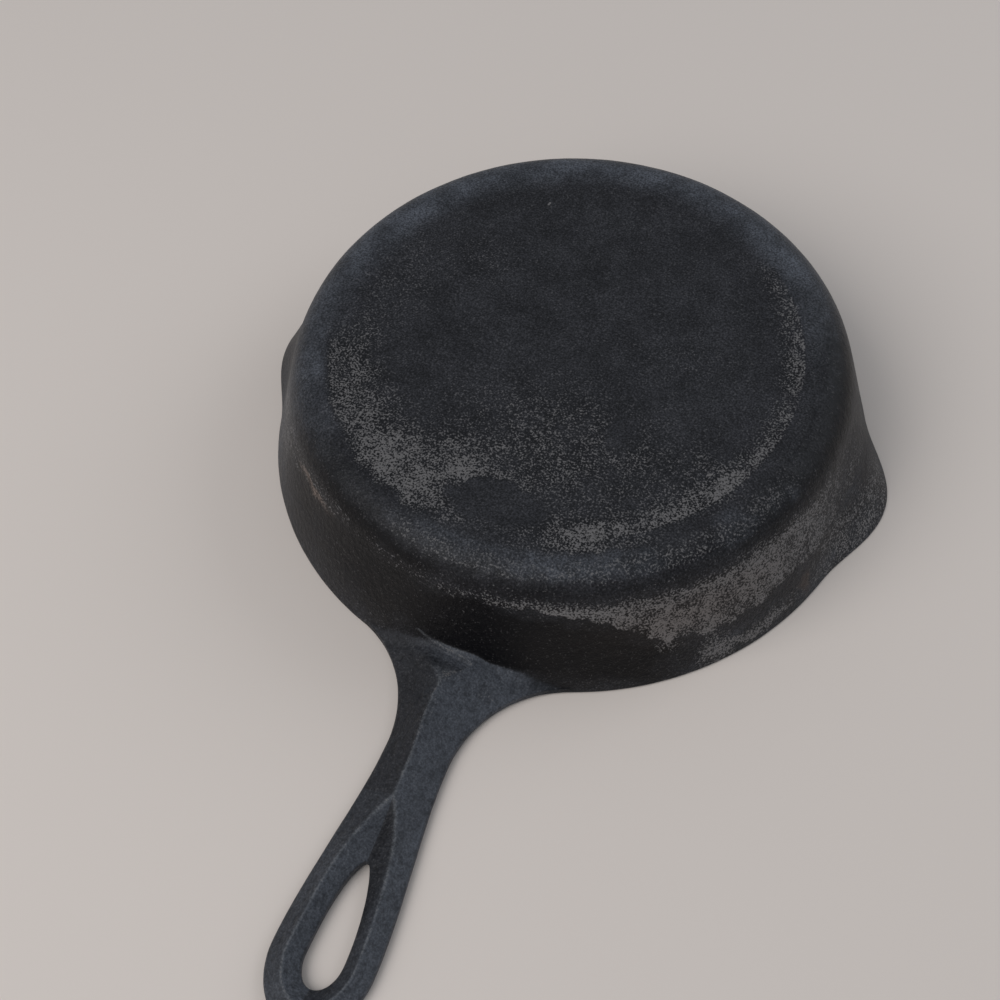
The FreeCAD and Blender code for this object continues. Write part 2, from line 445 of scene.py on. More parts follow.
def turned_section_tree() -> bpy.types.NodeTree:
    """Tree that turns a section about the bowl's axis and draws the wall out into pouring lips.

    Returns:
        The tree. Its geometry input is a section whose points carry their radius and height, and their
        outward direction, as attributes.
    """
    shape = ShapeTree("turned_section", {
        "Full Turn": ("NodeSocketBool", False),
        "Steps": ("NodeSocketInt", 16),
        "Start Angle": ("NodeSocketFloat", 0.0),
        "Span": ("NodeSocketFloat", TAU),
        "Wall Height": ("NodeSocketFloat", 0.04),
        "Right Lip Angle": ("NodeSocketFloat", 0.0),
        "Left Lip Angle": ("NodeSocketFloat", math.pi),
        "Lip Half Angle": ("NodeSocketFloat", 0.3),
        "Lip Reach": ("NodeSocketFloat", 0.01),
        "Lip Narrowing": ("NodeSocketFloat", 0.4),
        "Lip Flare": ("NodeSocketFloat", 1.0),
        **SKIN_INPUTS,
    })
    profile = shape.node("GeometryNodeMeshToCurve", {"Mesh": shape.given("Geometry")}).outputs[0]
    steps = shape.given("Steps")
    circle = shape.node("GeometryNodeCurvePrimitiveCircle", {"Resolution": steps, "Radius": 1.0})
    arc = shape.node("GeometryNodeCurveArc", {
        "Resolution": shape.plus(steps, 1.0), "Radius": 1.0, "Start Angle": 0.0, "Sweep Angle": 1.0})
    rail = shape.node("GeometryNodeSwitch", {
        "Switch": shape.given("Full Turn"), "False": arc.outputs[0], "True": circle.outputs[0]},
        input_type="GEOMETRY")
    share = shape.math("DIVIDE", shape.node("GeometryNodeInputIndex").outputs[0], steps)
    rail = shape.node("GeometryNodeStoreNamedAttribute", {
        "Geometry": rail.outputs[0], "Name": "turn", "Value": shape.combine(share, 0.0, 0.0)},
        data_type="FLOAT_VECTOR", domain="POINT")
    swept = shape.node("GeometryNodeCurveToMesh", {
        "Curve": rail.outputs[0], "Profile Curve": profile, "Fill Caps": True}).outputs[0]
    turn = shape.separate(shape.named("turn"))[0]
    turn = shape.linear(turn, shape.given("Span"), shape.given("Start Angle"))
    radius, _, height = shape.separate(shape.named(PLACE))
    radius = shape.plus(radius, lip_bulge(shape, turn, height))
    cosine, sine = shape.math("COSINE", turn), shape.math("SINE", turn)
    place = shape.combine(shape.times(radius, cosine), shape.times(radius, sine), height)
    placed = shape.node("GeometryNodeSetPosition", {"Geometry": swept, "Position": place}).outputs[0]
    outward, _, upward = shape.separate(shape.named(DIRECTION))
    direction = shape.combine(shape.times(outward, cosine), shape.times(outward, sine), upward)
    skinned = shape.skinned(placed, direction)
    merged = shape.node("GeometryNodeMergeByDistance", {"Geometry": skinned, "Distance": MERGE_DISTANCE})
    shape.close(merged.outputs[0])
    return shape.tree


def lip_bulge(shape: ShapeTree, turn: Socket, height: Socket) -> Socket:
    """How far the wall stands out at an angle and a height, for two lips that face each other.

    Args:
        shape: Tree to add to.
        turn: Angle about the bowl's axis.
        height: Height above the rim's plane.

    Returns:
        The distance.
    """
    offsets = []
    for side in ("Right", "Left"):
        offset = shape.minus(turn, shape.given(side + " Lip Angle"))
        offsets.append(shape.math("ABSOLUTE", shape.math("WRAP", offset, math.pi, -math.pi)))
    offset = shape.math("MINIMUM", *offsets)
    rise = shape.math("DIVIDE", height, shape.given("Wall Height"), clamp=True)
    narrowing = shape.times(rise, shape.given("Lip Narrowing"))
    half_angle = shape.times(shape.given("Lip Half Angle"), shape.minus(1.0, narrowing))
    place = shape.math("MINIMUM", shape.math("DIVIDE", offset, half_angle), 1.0)
    crest = shape.math("POWER", shape.math("COSINE", shape.times(place, math.pi / 2)), 2.0)
    fall = shape.math("POWER", shape.minus(1.0, rise), shape.given("Lip Flare"))
    return shape.times(shape.times(crest, fall), shape.given("Lip Reach"))


def cast_skin_tree() -> bpy.types.NodeTree:
    """Tree that gives a finished piece the swell and the dimples of an as-cast skin.

    Returns:
        The tree. Its geometry's points carry their outward direction as an attribute.
    """
    shape = ShapeTree("cast_skin", SKIN_INPUTS)
    shape.close(shape.skinned(shape.given("Geometry"), shape.named(DIRECTION)))
    return shape.tree


def run_tree(
    source: bpy.types.Object, tree: bpy.types.NodeTree, values: dict[str, object], name: str
) -> bpy.types.Object:
    """Run a geometry tree on an object and keep the result as a plain mesh.

    Args:
        source: Object whose mesh is the tree's geometry. It is removed.
        tree: Tree to run.
        values: Value of each input that isn't at its default, by name.
        name: Name of the new piece.

    Returns:
        The new object, at the origin and with no modifier.
    """
    modifier = source.modifiers.new(tree.name, "NODES")
    modifier.node_group = tree
    for item in tree.interface.items_tree:
        if item.in_out == "INPUT" and item.name in values:
            modifier[item.identifier] = values[item.name]
    bpy.context.view_layer.update()
    evaluated = source.evaluated_get(bpy.context.evaluated_depsgraph_get())
    mesh = bpy.data.meshes.new_from_object(evaluated)
    mesh.name = name
    source.modifiers.clear()
    bpy.data.objects.remove(source)
    return new_object(name, mesh)


# ---------------------------------------------------------------- bowl


@dataclass
class Section:
    """Section of the bowl as runs of skin, in the order that keeps the iron on the right.

    Each run is an array of radius and height. The straight steps between runs are faces shared with a
    neighbour.
    """

    runs: list[Array]
    closed: bool = True

    def to_object(self, name: str) -> bpy.types.Object:
        """Object with the section's line, whose points carry their place and outward direction.

        Args:
            name: Name of the object.

        Returns:
            The object, whose mesh is a line of edges.
        """
        places, directions = [], []
        for run in self.runs:
            along = np.gradient(run, axis=0)
            along /= np.linalg.norm(along, axis=1)[:, None]
            places.append(np.column_stack([run[:, 0], np.zeros(len(run)), run[:, 1]]))
            directions.append(np.column_stack([-along[:, 1], np.zeros(len(run)), along[:, 0]]))
        points = np.concatenate(places)
        count = len(points)
        edges = [(i, i + 1) for i in range(count - 1)]
        if self.closed:
            edges.append((count - 1, 0))
        mesh = bpy.data.meshes.new(name)
        mesh.from_pydata(points.tolist(), edges, [])
        for label, values in ((PLACE, points), (DIRECTION, np.concatenate(directions))):
            mark_points(mesh, label, values)
        return new_object(name, mesh)


def straight(start: Point, end: Point, step: float) -> Array:
    """Evenly spaced points from start to end, both included."""
    count = max(2, round(math.dist(start, end) / step) + 1)
    return np.linspace(start, end, count)


def bezier(poles: list[Point], count: int) -> Array:
    """Points on a cubic curve with four poles.

    Args:
        poles: The four poles, from the first end to the last.
        count: Number of points.

    Returns:
        The points.
    """
    share = np.linspace(0, 1, count)[:, None]
    left = 1 - share
    a, b, c, d = (np.array(pole) for pole in poles)
    return left ** 3 * a + 3 * left ** 2 * share * b + 3 * left * share ** 2 * c + share ** 3 * d


def rounding(centre: Point, radius: float, start: float, end: float, count: int = 6) -> Array:
    """Points on an arc, from one angle to another."""
    turn = np.linspace(start, end, count)
    return np.column_stack([centre[0] + radius * np.cos(turn), centre[1] + radius * np.sin(turn)])


@dataclass
class Bowl:
    """Bowl of the pan: floor, heel, wall and pouring lips."""

    sizes: BowlSizes
    step_angle: float = math.radians(0.5)
    wall_step: float = 1.2 * MM
    inside_step: float = 2.4 * MM
    floor_step: float = 1.5 * MM
    heel_points: int = 24
    inner_heel_points: int = 14
    tree: bpy.types.NodeTree = field(default_factory=turned_section_tree)

    def base_section(self) -> Section:
        """Section of the flat floor, from the axis out and back.

        Returns:
            The section, open at the axis.
        """
        s = self.sizes
        top = straight((0.0, s.depth), (s.flat_radius, s.depth), self.floor_step)
        low = s.depth - s.floor_thickness
        under = straight((s.flat_radius, low), (0.0, low), 2 * self.floor_step)
        return Section([top, under], closed=False)

    def heel_edge(self, wall: Point, floor: Point, count: int) -> Array:
        """Line of the heel from the floor to the wall.

        Args:
            wall: Radius and height where the wall ends.
            floor: Radius and height where the flat floor ends.
            count: Number of points.

        Returns:
            The points.
        """
        s = self.sizes
        rise = s.heel_wall_pull * (floor[1] - wall[1])
        width = s.heel_floor_pull * (wall[0] - floor[0])
        floor_pole = (floor[0] + width, floor[1])
        wall_pole = (wall[0] - s.wall_slope * rise, wall[1] + rise)
        return bezier([floor, floor_pole, wall_pole, wall], count)

    def heel_section(self) -> Section:
        """Section of the rounded turn between floor and wall.

        Returns:
            The section.
        """
        s = self.sizes
        outer_wall, outer_floor = (s.wall_top_radius, s.wall_top_height), (s.flat_radius, s.depth)
        outer = self.heel_edge(outer_wall, outer_floor, self.heel_points)
        inner_wall = (s.wall_top_radius - s.wall_thickness, s.wall_top_height)
        inner_floor = (s.flat_radius, s.depth - s.floor_thickness)
        inner = self.heel_edge(inner_wall, inner_floor, self.inner_heel_points)[::-1]
        return Section([outer, inner])

    def wall_section(self) -> Section:
        """Section of the wall with its rounded rim, from the outside over the rim to the inside.

        Returns:
            The section.
        """
        s = self.sizes
        tilt = math.atan(s.wall_slope)
        cosine, sine = math.cos(tilt), math.sin(tilt)
        radius = s.rim_rounding
        outer_centre = (s.rim_radius - radius * (1 + sine) / cosine, radius)
        inner_centre = (s.rim_radius - s.rim_thickness + radius * (1 - sine) / cosine, radius)
        outer_arc = rounding(outer_centre, radius, tilt, -math.pi / 2)
        inner_arc = rounding(inner_centre, radius, -math.pi / 2, -math.pi + tilt)
        outer = straight((s.wall_top_radius, s.wall_top_height), tuple(outer_arc[0]), self.wall_step)
        inner_top = (s.wall_top_radius - s.wall_thickness, s.wall_top_height)
        inner = straight(tuple(inner_arc[-1]), inner_top, self.inside_step)
        return Section([np.concatenate([outer[:-1], outer_arc, inner_arc, inner[1:]])])

    def turn(
        self, name: str, section: Section, start: float, span: float, material: bpy.types.Material
    ) -> bpy.types.Object:
        """Turn a section into a piece.

        Args:
            name: Name of the piece.
            section: Section to turn.
            start: Angle where the piece starts.
            span: Angle that it takes up.
            material: Finish of the piece.

        Returns:
            The piece.
        """
        s = self.sizes
        return run_tree(section.to_object(name + "_section"), self.tree, {
            "Full Turn": span >= TAU,
            "Steps": round(span / self.step_angle),
            "Start Angle": start,
            "Span": span,
            "Wall Height": s.wall_top_height,
            "Right Lip Angle": s.right_lip_angle,
            "Left Lip Angle": s.left_lip_angle,
            "Lip Half Angle": s.lip_half_angle,
            "Lip Reach": s.lip_reach,
            "Lip Narrowing": s.lip_narrowing,
            "Lip Flare": s.lip_flare,
            "Material": material,
        }, name)

    def build(self, finishes: dict[Slot, bpy.types.Material]) -> list["Piece"]:
        """Build every region of the bowl.

        Args:
            finishes: Material for each slot.

        Returns:
            The pieces.
        """
        s = self.sizes
        right, left, half = s.right_lip_angle, s.left_lip_angle, s.lip_half_angle
        rear_span = left - right - 2 * half
        front_span = TAU - 4 * half - rear_span
        wall = self.wall_section()
        plan = [
            ("base_disc", self.base_section(), right + half, TAU, Slot.BASE),
            ("heel_ring", self.heel_section(), right + half, TAU, Slot.BOWL),
            ("wall_rear", wall, right + half, rear_span, Slot.BOWL),
            ("wall_front", wall, left + half, front_span, Slot.BOWL),
            ("pour_lip_right", wall, right - half, 2 * half, Slot.BOWL),
            ("pour_lip_left", wall, left - half, 2 * half, Slot.BOWL),
        ]
        pieces = []
        for node, section, start, span, slot in plan:
            made = self.turn("iron_" + node, section, start, span, finishes[slot])
            pieces.append(Piece(made, node, slot))
        return pieces


# ---------------------------------------------------------------- handle


def ease(share: Array | float) -> Array | float:
    """Ease from 0 to 1 with level ends, clipped outside."""
    share = np.clip(share, 0.0, 1.0)
    return share * share * (3 - 2 * share)


def soft_min(first: Array, second: Array, reach: float | Array) -> Array:
    """Smaller of two values, with the corner between them rounded over a reach."""
    near = np.maximum(reach - np.abs(first - second), 0.0) / reach
    return np.minimum(first, second) - near * near * reach / 4


@dataclass
class Skin:
    """Points and faces of a piece that is put together one point and face at a time."""

    points: list[Array] = field(default_factory=list)
    faces: list[Array] = field(default_factory=list)
    shared: list[Array] = field(default_factory=list)
    count: int = 0

    def add_points(self, points: Array) -> int:
        """Add points.

        Args:
            points: Place of each point, followed by its two marks.

        Returns:
            Number of the first one.
        """
        first = self.count
        self.points.append(points.reshape(-1, 5))
        self.count += points.size // 5
        return first

    def add_faces(self, faces: Array, shared: bool = False) -> None:
        """Add four-sided faces. Shared ones lie against a neighbour and don't turn the skin's direction."""
        self.faces.append(faces.reshape(-1, 4))
        self.shared.append(np.full(faces.size // 4, shared))

    def to_object(self, name: str) -> bpy.types.Object:
        """Object with the skin as a mesh, doubles merged, whose points carry their outward direction.

        Args:
            name: Name of the object.

        Returns:
            The object.
        """
        points, marks = np.split(np.concatenate(self.points), [3], axis=1)
        faces = np.concatenate(self.faces)
        shared = np.concatenate(self.shared)
        keys = np.round(points / MERGE_DISTANCE).astype(np.int64)
        _, first, number = np.unique(keys, axis=0, return_index=True, return_inverse=True)
        points, marks, faces = points[first], marks[first], number.reshape(-1)[faces]
        corner = points[faces]
        normal = np.cross(corner[:, 2] - corner[:, 0], corner[:, 3] - corner[:, 1])
        direction = np.zeros_like(points)
        for side in range(4):
            np.add.at(direction, faces[~shared, side], normal[~shared])
        direction /= np.maximum(np.linalg.norm(direction, axis=1), 1e-12)[:, None]
        mesh = bpy.data.meshes.new(name)
        rings = [list(dict.fromkeys(face)) for face in faces.tolist()]
        mesh.from_pydata(points.tolist(), [], [ring for ring in rings if len(ring) > 2])
        for label, values in zip((DIRECTION, RIDGE, LIT_FACE), (direction, *marks.T)):
            mark_points(mesh, label, values)
        return new_object(name, mesh)


def quads(first: Array, second: Array) -> Array:
    """Faces between two rows of point numbers of the same length."""
    return np.stack([first[:-1], first[1:], second[1:], second[:-1]], axis=-1)


@dataclass
class Handle:
    """Handle of the pan: root, shank and hanging loop."""

    sizes: HandleSizes
    bowl: BowlSizes
    across_points: int = 56
    edge_points: int = 5
    root_rows: int = 110
    shank_rows: int = 50
    valley_rows: int = 38
    arm_rows: int = 80
    bow_rows: int = 44
    opening_rows: int = 8
    root_row_power: float = 1.5
    root_pull_power: int = 5
    halvings: int = 40
    settling_steps: int = 80
    crest_steps: int = 30
    search_below: float = 1.0 * MM
    search_above: float = 30.0 * MM
    # shares of painted light on the loop's left arm, inner and outer face; right-looking faces get 1
    inner_left_lit_share: float = 0.88
    outer_left_lit_share: float = 0.30
    tree: bpy.types.NodeTree = field(default_factory=cast_skin_tree)

    @property
    def flare_radius(self) -> float:
        """Radius of the arc that runs from the rim into the neck, tangent to both."""
        s, rim = self.sizes, self.bowl.rim_radius
        return (s.neck_half_width ** 2 + s.neck_distance ** 2 - rim ** 2) / (2 * (rim - s.neck_half_width))

    @property
    def flare_angle(self) -> float:
        """Angle off the handle's line where the arc leaves the rim."""
        return math.atan((self.sizes.neck_half_width + self.flare_radius) / self.sizes.neck_distance)

    def edge_distance(self, side: Array, distance: Array) -> Array:
        """Distance from a place on the handle to its right-hand outline, before the widest place.

        Args:
            side: Distance to the right of the handle's line.
            distance: Distance from the bowl's axis.

        Returns:
            The distances, below zero outside the outline.
        """
        s = self.sizes
        radius = self.flare_radius
        before_neck = np.minimum(distance - s.neck_distance, 0.0)
        flare = np.hypot(s.neck_half_width + radius - side, before_neck) - radius
        return np.where(distance < s.neck_distance, flare, self.half_width(distance) - side)

    def half_width(self, distance: Array) -> Array:
        """Half width of the handle between the neck and the widest place.

        Args:
            distance: Distance from the bowl's axis.

        Returns:
            The half widths.
        """
        s = self.sizes
        share = (distance - s.neck_distance) / (s.belly_distance - s.neck_distance)
        return s.neck_half_width + (s.belly_half_width - s.neck_half_width) * ease(share)

    def outline_height(self, distance: Array) -> Array:
        """Height of the handle's edge, which feathers out where the outline runs into the rim.

        Args:
            distance: Distance from the bowl's axis.

        Returns:
            The heights.
        """
        s = self.sizes
        start = self.bowl.rim_radius * math.cos(self.flare_angle)
        share = ease((distance - start) / (s.feather_distance - start))
        return s.feather_height + (s.edge_height - s.feather_height) * share

    def ridge_side(self, distance: Array) -> Array:
        """How far the hand-finished ridge wanders to the right of the handle's line."""
        knots, sides = np.array(self.sizes.ridge_line).T * MM
        return np.interp(distance, knots, sides)

    def ridge_height(self, distance: Array) -> Array:
        """Height of the ridge from where it splits at the root to the fork.

        Args:
            distance: Distance from the bowl's axis.

        Returns:
            The heights.
        """
        s = self.sizes
        knots = np.array([s.split_distance, s.neck_distance, s.fork_distance])
        heights = np.array([s.root_ridge_height, s.neck_ridge_height, s.fork_ridge_height])
        return np.interp(distance, knots, heights)

    def beyond(self, side: Array, distance: Array, start: Point, end: Point) -> Array:
        """Distance past a line, away from the bowl.

        Args:
            side: Distance to the right of the handle's line.
            distance: Distance from the bowl's axis.
            start: Left end of the line, as side and distance.
            end: Its right end.

        Returns:
            The distances, below zero on the bowl's side.
        """
        along = np.array(end) - np.array(start)
        along /= np.linalg.norm(along)
        return (distance - start[1]) * along[0] - (side - start[0]) * along[1]

    def roof(self, side: Array, distance: Array) -> tuple[Array, Array]:
        """Height of the root's and the shank's upper face.

        The ridge runs up the handle and bends right along the flare to the ledge. The ledge's edge runs back
        left to the wall, with a hollow between the two.

        Args:
            side: Distance to the right of the handle's line.
            distance: Distance from the bowl's axis.

        Returns:
            Heights, without the rounding along the outline and without the fillet to the wall, and the marks.
        """
        s = self.sizes
        held = np.maximum(distance, s.split_distance)
        ridge, top = self.ridge_side(held), self.ridge_height(held)
        edge = self.outline_height(distance)
        right_slope = (top - s.edge_height) / self.edge_distance(ridge, held)
        left_slope = (top - s.edge_height) / self.edge_distance(-ridge, held)
        right = edge + right_slope * self.edge_distance(side, distance)
        left = edge + left_slope * self.edge_distance(-side, distance)
        ledge = s.ledge_height + s.ledge_climb * ease((distance - s.ledge_end) / s.ledge_run)
        upper = soft_min(right, ledge, s.ledge_rounding)
        hollow = s.hollow_height + s.hollow_climb * ease((distance - s.hollow_end) / s.hollow_run)
        lower = soft_min(left, hollow, s.hollow_rounding)
        past_step = ease((self.ridge_side(distance) - side) / s.step_width + 0.5)
        past_step = np.maximum(past_step, ease((distance - s.split_distance) / s.split_run + 0.5))
        past_ledge = self.beyond(side, distance, s.ledge_left_corner, s.ledge_right_corner)
        raised = s.step_height * (1 - past_step * ease(past_ledge / s.step_width + 0.5))
        return soft_min(upper, lower + raised, s.ridge_rounding), s.marks(lower + raised - upper)

    def fillet_reach(self, angle: Array) -> Array:
        """How far the fillet between the root and the wall reaches, at angles off the handle's line."""
        knots, reaches = np.array(self.sizes.fillet_line).T
        return np.interp(angle, np.radians(knots), reaches * MM)

    def joined_top(self, side: Array, distance: Array) -> Array:
        """Height of the root's upper face with its fillet up the wall, found by halving.

        Args:
            side: Distance to the right of the handle's line.
            distance: Distance from the bowl's axis.

        Returns:
            The heights.
        """
        bowl = self.bowl
        roof = self.roof(side, distance)[0]
        radius = np.hypot(side, distance)
        reach = self.fillet_reach(np.arctan2(side, distance))
        tilt = math.cos(math.atan(bowl.wall_slope))
        low, high = roof - self.search_below, roof + self.search_above
        for _ in range(self.halvings):
            middle = (low + high) / 2
            inside = soft_min((radius - bowl.outer_radius(middle)) * tilt, middle - roof, reach) < 0
            low, high = np.where(inside, middle, low), np.where(inside, high, middle)
        return (low + high) / 2

    def contact(self, angle: Array) -> Array:
        """Points on the wall where the root's fillet runs out.

        Args:
            angle: Angles off the handle's line.

        Returns:
            The points.
        """
        s, bowl = self.sizes, self.bowl
        reach = self.fillet_reach(angle)
        height = np.full(angle.shape, s.ledge_height)
        for _ in range(self.settling_steps):
            radius = bowl.outer_radius(height)
            target = self.roof(radius * np.sin(angle), radius * np.cos(angle))[0] + reach
            height = height + 0.5 * (target - height)
        radius = bowl.outer_radius(height)
        return np.stack([radius * np.sin(angle), -radius * np.cos(angle), height], axis=-1)

    def half_samples(self, width: Array) -> Array:
        """Sample places from the middle of the handle to its outline, close together at both ends.

        Args:
            width: Half width of the handle, or one for each row.

        Returns:
            Distances from the middle.
        """
        s = self.sizes
        turn = np.linspace(0, math.pi / 2, self.edge_points)
        offsets = s.edge_rounding * (1 - np.cos(turn))
        width = np.asarray(width)[..., None]
        middle = np.linspace(0, 1, self.across_points + 2)[1:-1]
        inner = offsets + 0 * width
        outer = width - offsets[::-1]
        between = s.edge_rounding + (width - 2 * s.edge_rounding) * middle
        return np.concatenate([inner, between, outer], axis=-1)

    def rounded(self, height: Array, edge: Array, radius: Array | float, up: bool) -> Array:
        """Heights with an edge rounded off.

        Args:
            height: Heights of the face.
            edge: Distance to the edge.
            radius: Radius of the rounding.
            up: Whether the face looks up.

        Returns:
            The lowered, or on the lower face raised, heights.
        """
        gap = np.clip(radius - edge, 0.0, radius)
        drop = radius - np.sqrt(np.maximum(radius * radius - gap * gap, 0.0))
        return height - drop if up else height + drop

    def band(self, skin: Skin, top: Array, under: Array, ends: tuple[bool, bool]) -> None:
        """Add a stretch of the handle that has two outlines.

        Args:
            skin: Skin to add to.
            top: Points of the upper face, by row and across.
            under: Points of the lower face, likewise.
            ends: Whether the first and the last row have an end face.
        """
        rows, across = top.shape[:2]
        upper = skin.add_points(top) + np.arange(rows * across).reshape(rows, across)
        lower = skin.add_points(under) + np.arange(rows * across).reshape(rows, across)
        for row in range(rows - 1):
            skin.add_faces(quads(upper[row + 1], upper[row]))
            skin.add_faces(quads(lower[row], lower[row + 1]))
        skin.add_faces(quads(upper[:, 0], lower[:, 0]))
        skin.add_faces(quads(lower[:, -1], upper[:, -1]))
        if ends[0]:
            skin.add_faces(quads(upper[0], lower[0]), shared=True)
        if ends[1]:
            skin.add_faces(quads(lower[-1], upper[-1]), shared=True)

    def root_skin(self) -> Skin:
        """Flared root, from its contact with the wall to the neck.

        Returns:
            The skin.
        """
        s, bowl = self.sizes, self.bowl
        rim = bowl.rim_radius
        start_distance = rim * math.cos(self.flare_angle)
        rim_side = self.signed_samples(rim * math.sin(self.flare_angle))
        rim_distance = np.sqrt(rim ** 2 - rim_side ** 2)
        angle = np.arctan2(rim_side, rim_distance)
        contact = self.contact(angle)
        foot_radius = bowl.outer_radius(s.lift)
        foot_side, foot_distance = foot_radius * np.sin(angle), foot_radius * np.cos(angle)
        foot = np.stack([foot_side, -foot_distance, np.full(angle.shape, s.lift)], axis=-1)
        rows_top, rows_under = [], []
        for step in np.linspace(0, 1, self.root_rows) ** self.root_row_power:
            outline = start_distance + (s.neck_distance - start_distance) * step
            side = self.signed_samples(float(self.flare_half_width(outline)))
            distance = rim_distance + (s.neck_distance - rim_distance) * step
            pull = (1 - step) ** self.root_pull_power
            for rows, target, up in ((rows_top, contact, True), (rows_under, foot, False)):
                here = side + (target[:, 0] - rim_side) * pull
                far = distance + (-target[:, 1] - rim_distance) * pull
                height = self.joined_top(here, far) if up else np.full(here.shape, s.lift)
                place = np.stack([here, -far, self.edged(here, far, height, up)], axis=-1)
                rows.append(np.concatenate([place, self.roof(here, far)[1]], axis=-1))
        rows_top[0][:, :3], rows_under[0][:, :3] = contact, foot
        skin = Skin()
        self.band(skin, np.stack(rows_top), np.stack(rows_under), (True, True))
        return skin

    def flare_half_width(self, distance: Array) -> Array:
        """Half width of the root.

        Args:
            distance: Distance from the bowl's axis.

        Returns:
            The half widths.
        """
        s, radius = self.sizes, self.flare_radius
        short = radius ** 2 - (s.neck_distance - distance) ** 2
        return s.neck_half_width + radius - np.sqrt(np.maximum(short, 0.0))

    def edged(self, side: Array, distance: Array, height: Array, up: bool) -> Array:
        """Heights with the handle's outline rounded off.

        Args:
            side: Distance to the right of the handle's line.
            distance: Distance from the bowl's axis.
            height: Heights of the face.
            up: Whether the face looks up.

        Returns:
            The rounded heights.
        """
        s = self.sizes
        edge = np.maximum(self.edge_distance(np.abs(side), distance), 0.0)
        room = s.feather_rounding_share * (self.outline_height(distance) - s.lift)
        radius = np.minimum(s.edge_rounding, room)
        return self.rounded(height, edge, radius if up else s.under_rounding_share * radius, up)

    def signed_samples(self, half_width: float) -> Array:
        """Sample places from the left outline to the right one."""
        half = self.half_samples(np.array(half_width))
        return np.concatenate([-half[::-1], half[1:]])

    def shank_skin(self) -> Skin:
        """Shank with its single ridge, from the neck to the fork.

        Returns:
            The skin.
        """
        s = self.sizes
        rows_top, rows_under = [], []
        for distance in np.linspace(s.neck_distance, s.fork_distance, self.shank_rows):
            side = self.signed_samples(float(self.half_width(distance)))
            far = np.full(side.shape, distance)
            for rows, up in ((rows_top, True), (rows_under, False)):
                roof, marks = self.roof(side, far)
                height = roof if up else np.full(side.shape, s.lift)
                place = np.stack([side, -far, self.edged(side, far, height, up)], axis=-1)
                rows.append(np.concatenate([place, marks], axis=-1))
        skin = Skin()
        self.band(skin, np.stack(rows_top), np.stack(rows_under), (True, True))
        return skin

    def loop_lines(self) -> tuple[Array, Array, Array]:
        """Lines that the loop runs between, on its right half.

        Returns:
            Points of the outline, points of the valley and hole, and how far the hole has opened, by row.
        """
        s = self.sizes
        valley = np.linspace(s.fork_distance, s.hole_start, self.valley_rows)
        outer_valley_end = s.fork_distance + s.outer_valley_share * (s.hole_start - s.fork_distance)
        turn = np.linspace(0, math.pi / 2, self.arm_rows)[1:]
        share = 1 - np.cos(turn)
        hole = s.hole_start + (s.hole_belly - s.hole_start) * share
        hole_side = s.hole_half_width * np.sin(math.pi / 2 * share) ** s.hole_opening_power
        bow = np.linspace(0, math.pi / 2, self.bow_rows)[1:]
        hole_bow = s.hole_belly + (s.hole_end - s.hole_belly) * np.sin(bow)
        inner = np.concatenate([
            np.column_stack([0 * valley, valley]),
            np.column_stack([hole_side, hole]),
            np.column_stack([s.hole_half_width * np.cos(bow), hole_bow]),
        ])
        outer_valley = np.linspace(s.fork_distance, outer_valley_end, self.valley_rows)
        along_arm = np.linspace(0, 1, self.arm_rows)[1:]
        outer_arm = outer_valley_end + (s.belly_distance - outer_valley_end) * along_arm
        outer_straight = np.concatenate([outer_valley, outer_arm])
        outer_bow = s.belly_distance + (s.tip_distance - s.belly_distance) * np.sin(bow)
        outer = np.concatenate([
            np.column_stack([self.half_width(outer_straight), outer_straight]),
            np.column_stack([s.belly_half_width * np.cos(bow), outer_bow]),
        ])
        opened = np.minimum(turn / turn[self.opening_rows], 1.0)
        opening = np.concatenate([np.zeros(self.valley_rows), opened, np.ones(len(bow))])
        return outer, inner, opening

    def crest_shares(self, outer: Array, inner: Array) -> Array:
        """Where the divided ridge crosses each row, as a share of the way from the hole to the outline.

        Args:
            outer: Points of the outline, by row.
            inner: Points of the valley and the hole, by row.

        Returns:
            The shares.
        """
        s = self.sizes
        share = np.zeros(len(inner))
        for _ in range(self.crest_steps):
            distance = inner[:, 1] + share * (outer[:, 1] - inner[:, 1])
            crest = s.crest_reach * (1 - np.exp((s.fork_distance - distance) / s.crest_run))
            width = np.maximum(outer[:, 0] - inner[:, 0], 1e-6)
            share = np.clip((crest - inner[:, 0]) / width, 0.0, s.crest_limit)
        belly = self.valley_rows + self.arm_rows - 2
        bow = np.linspace(0, 1, self.bow_rows)
        share[belly:] = share[belly] + (0.5 - share[belly]) * bow
        return share

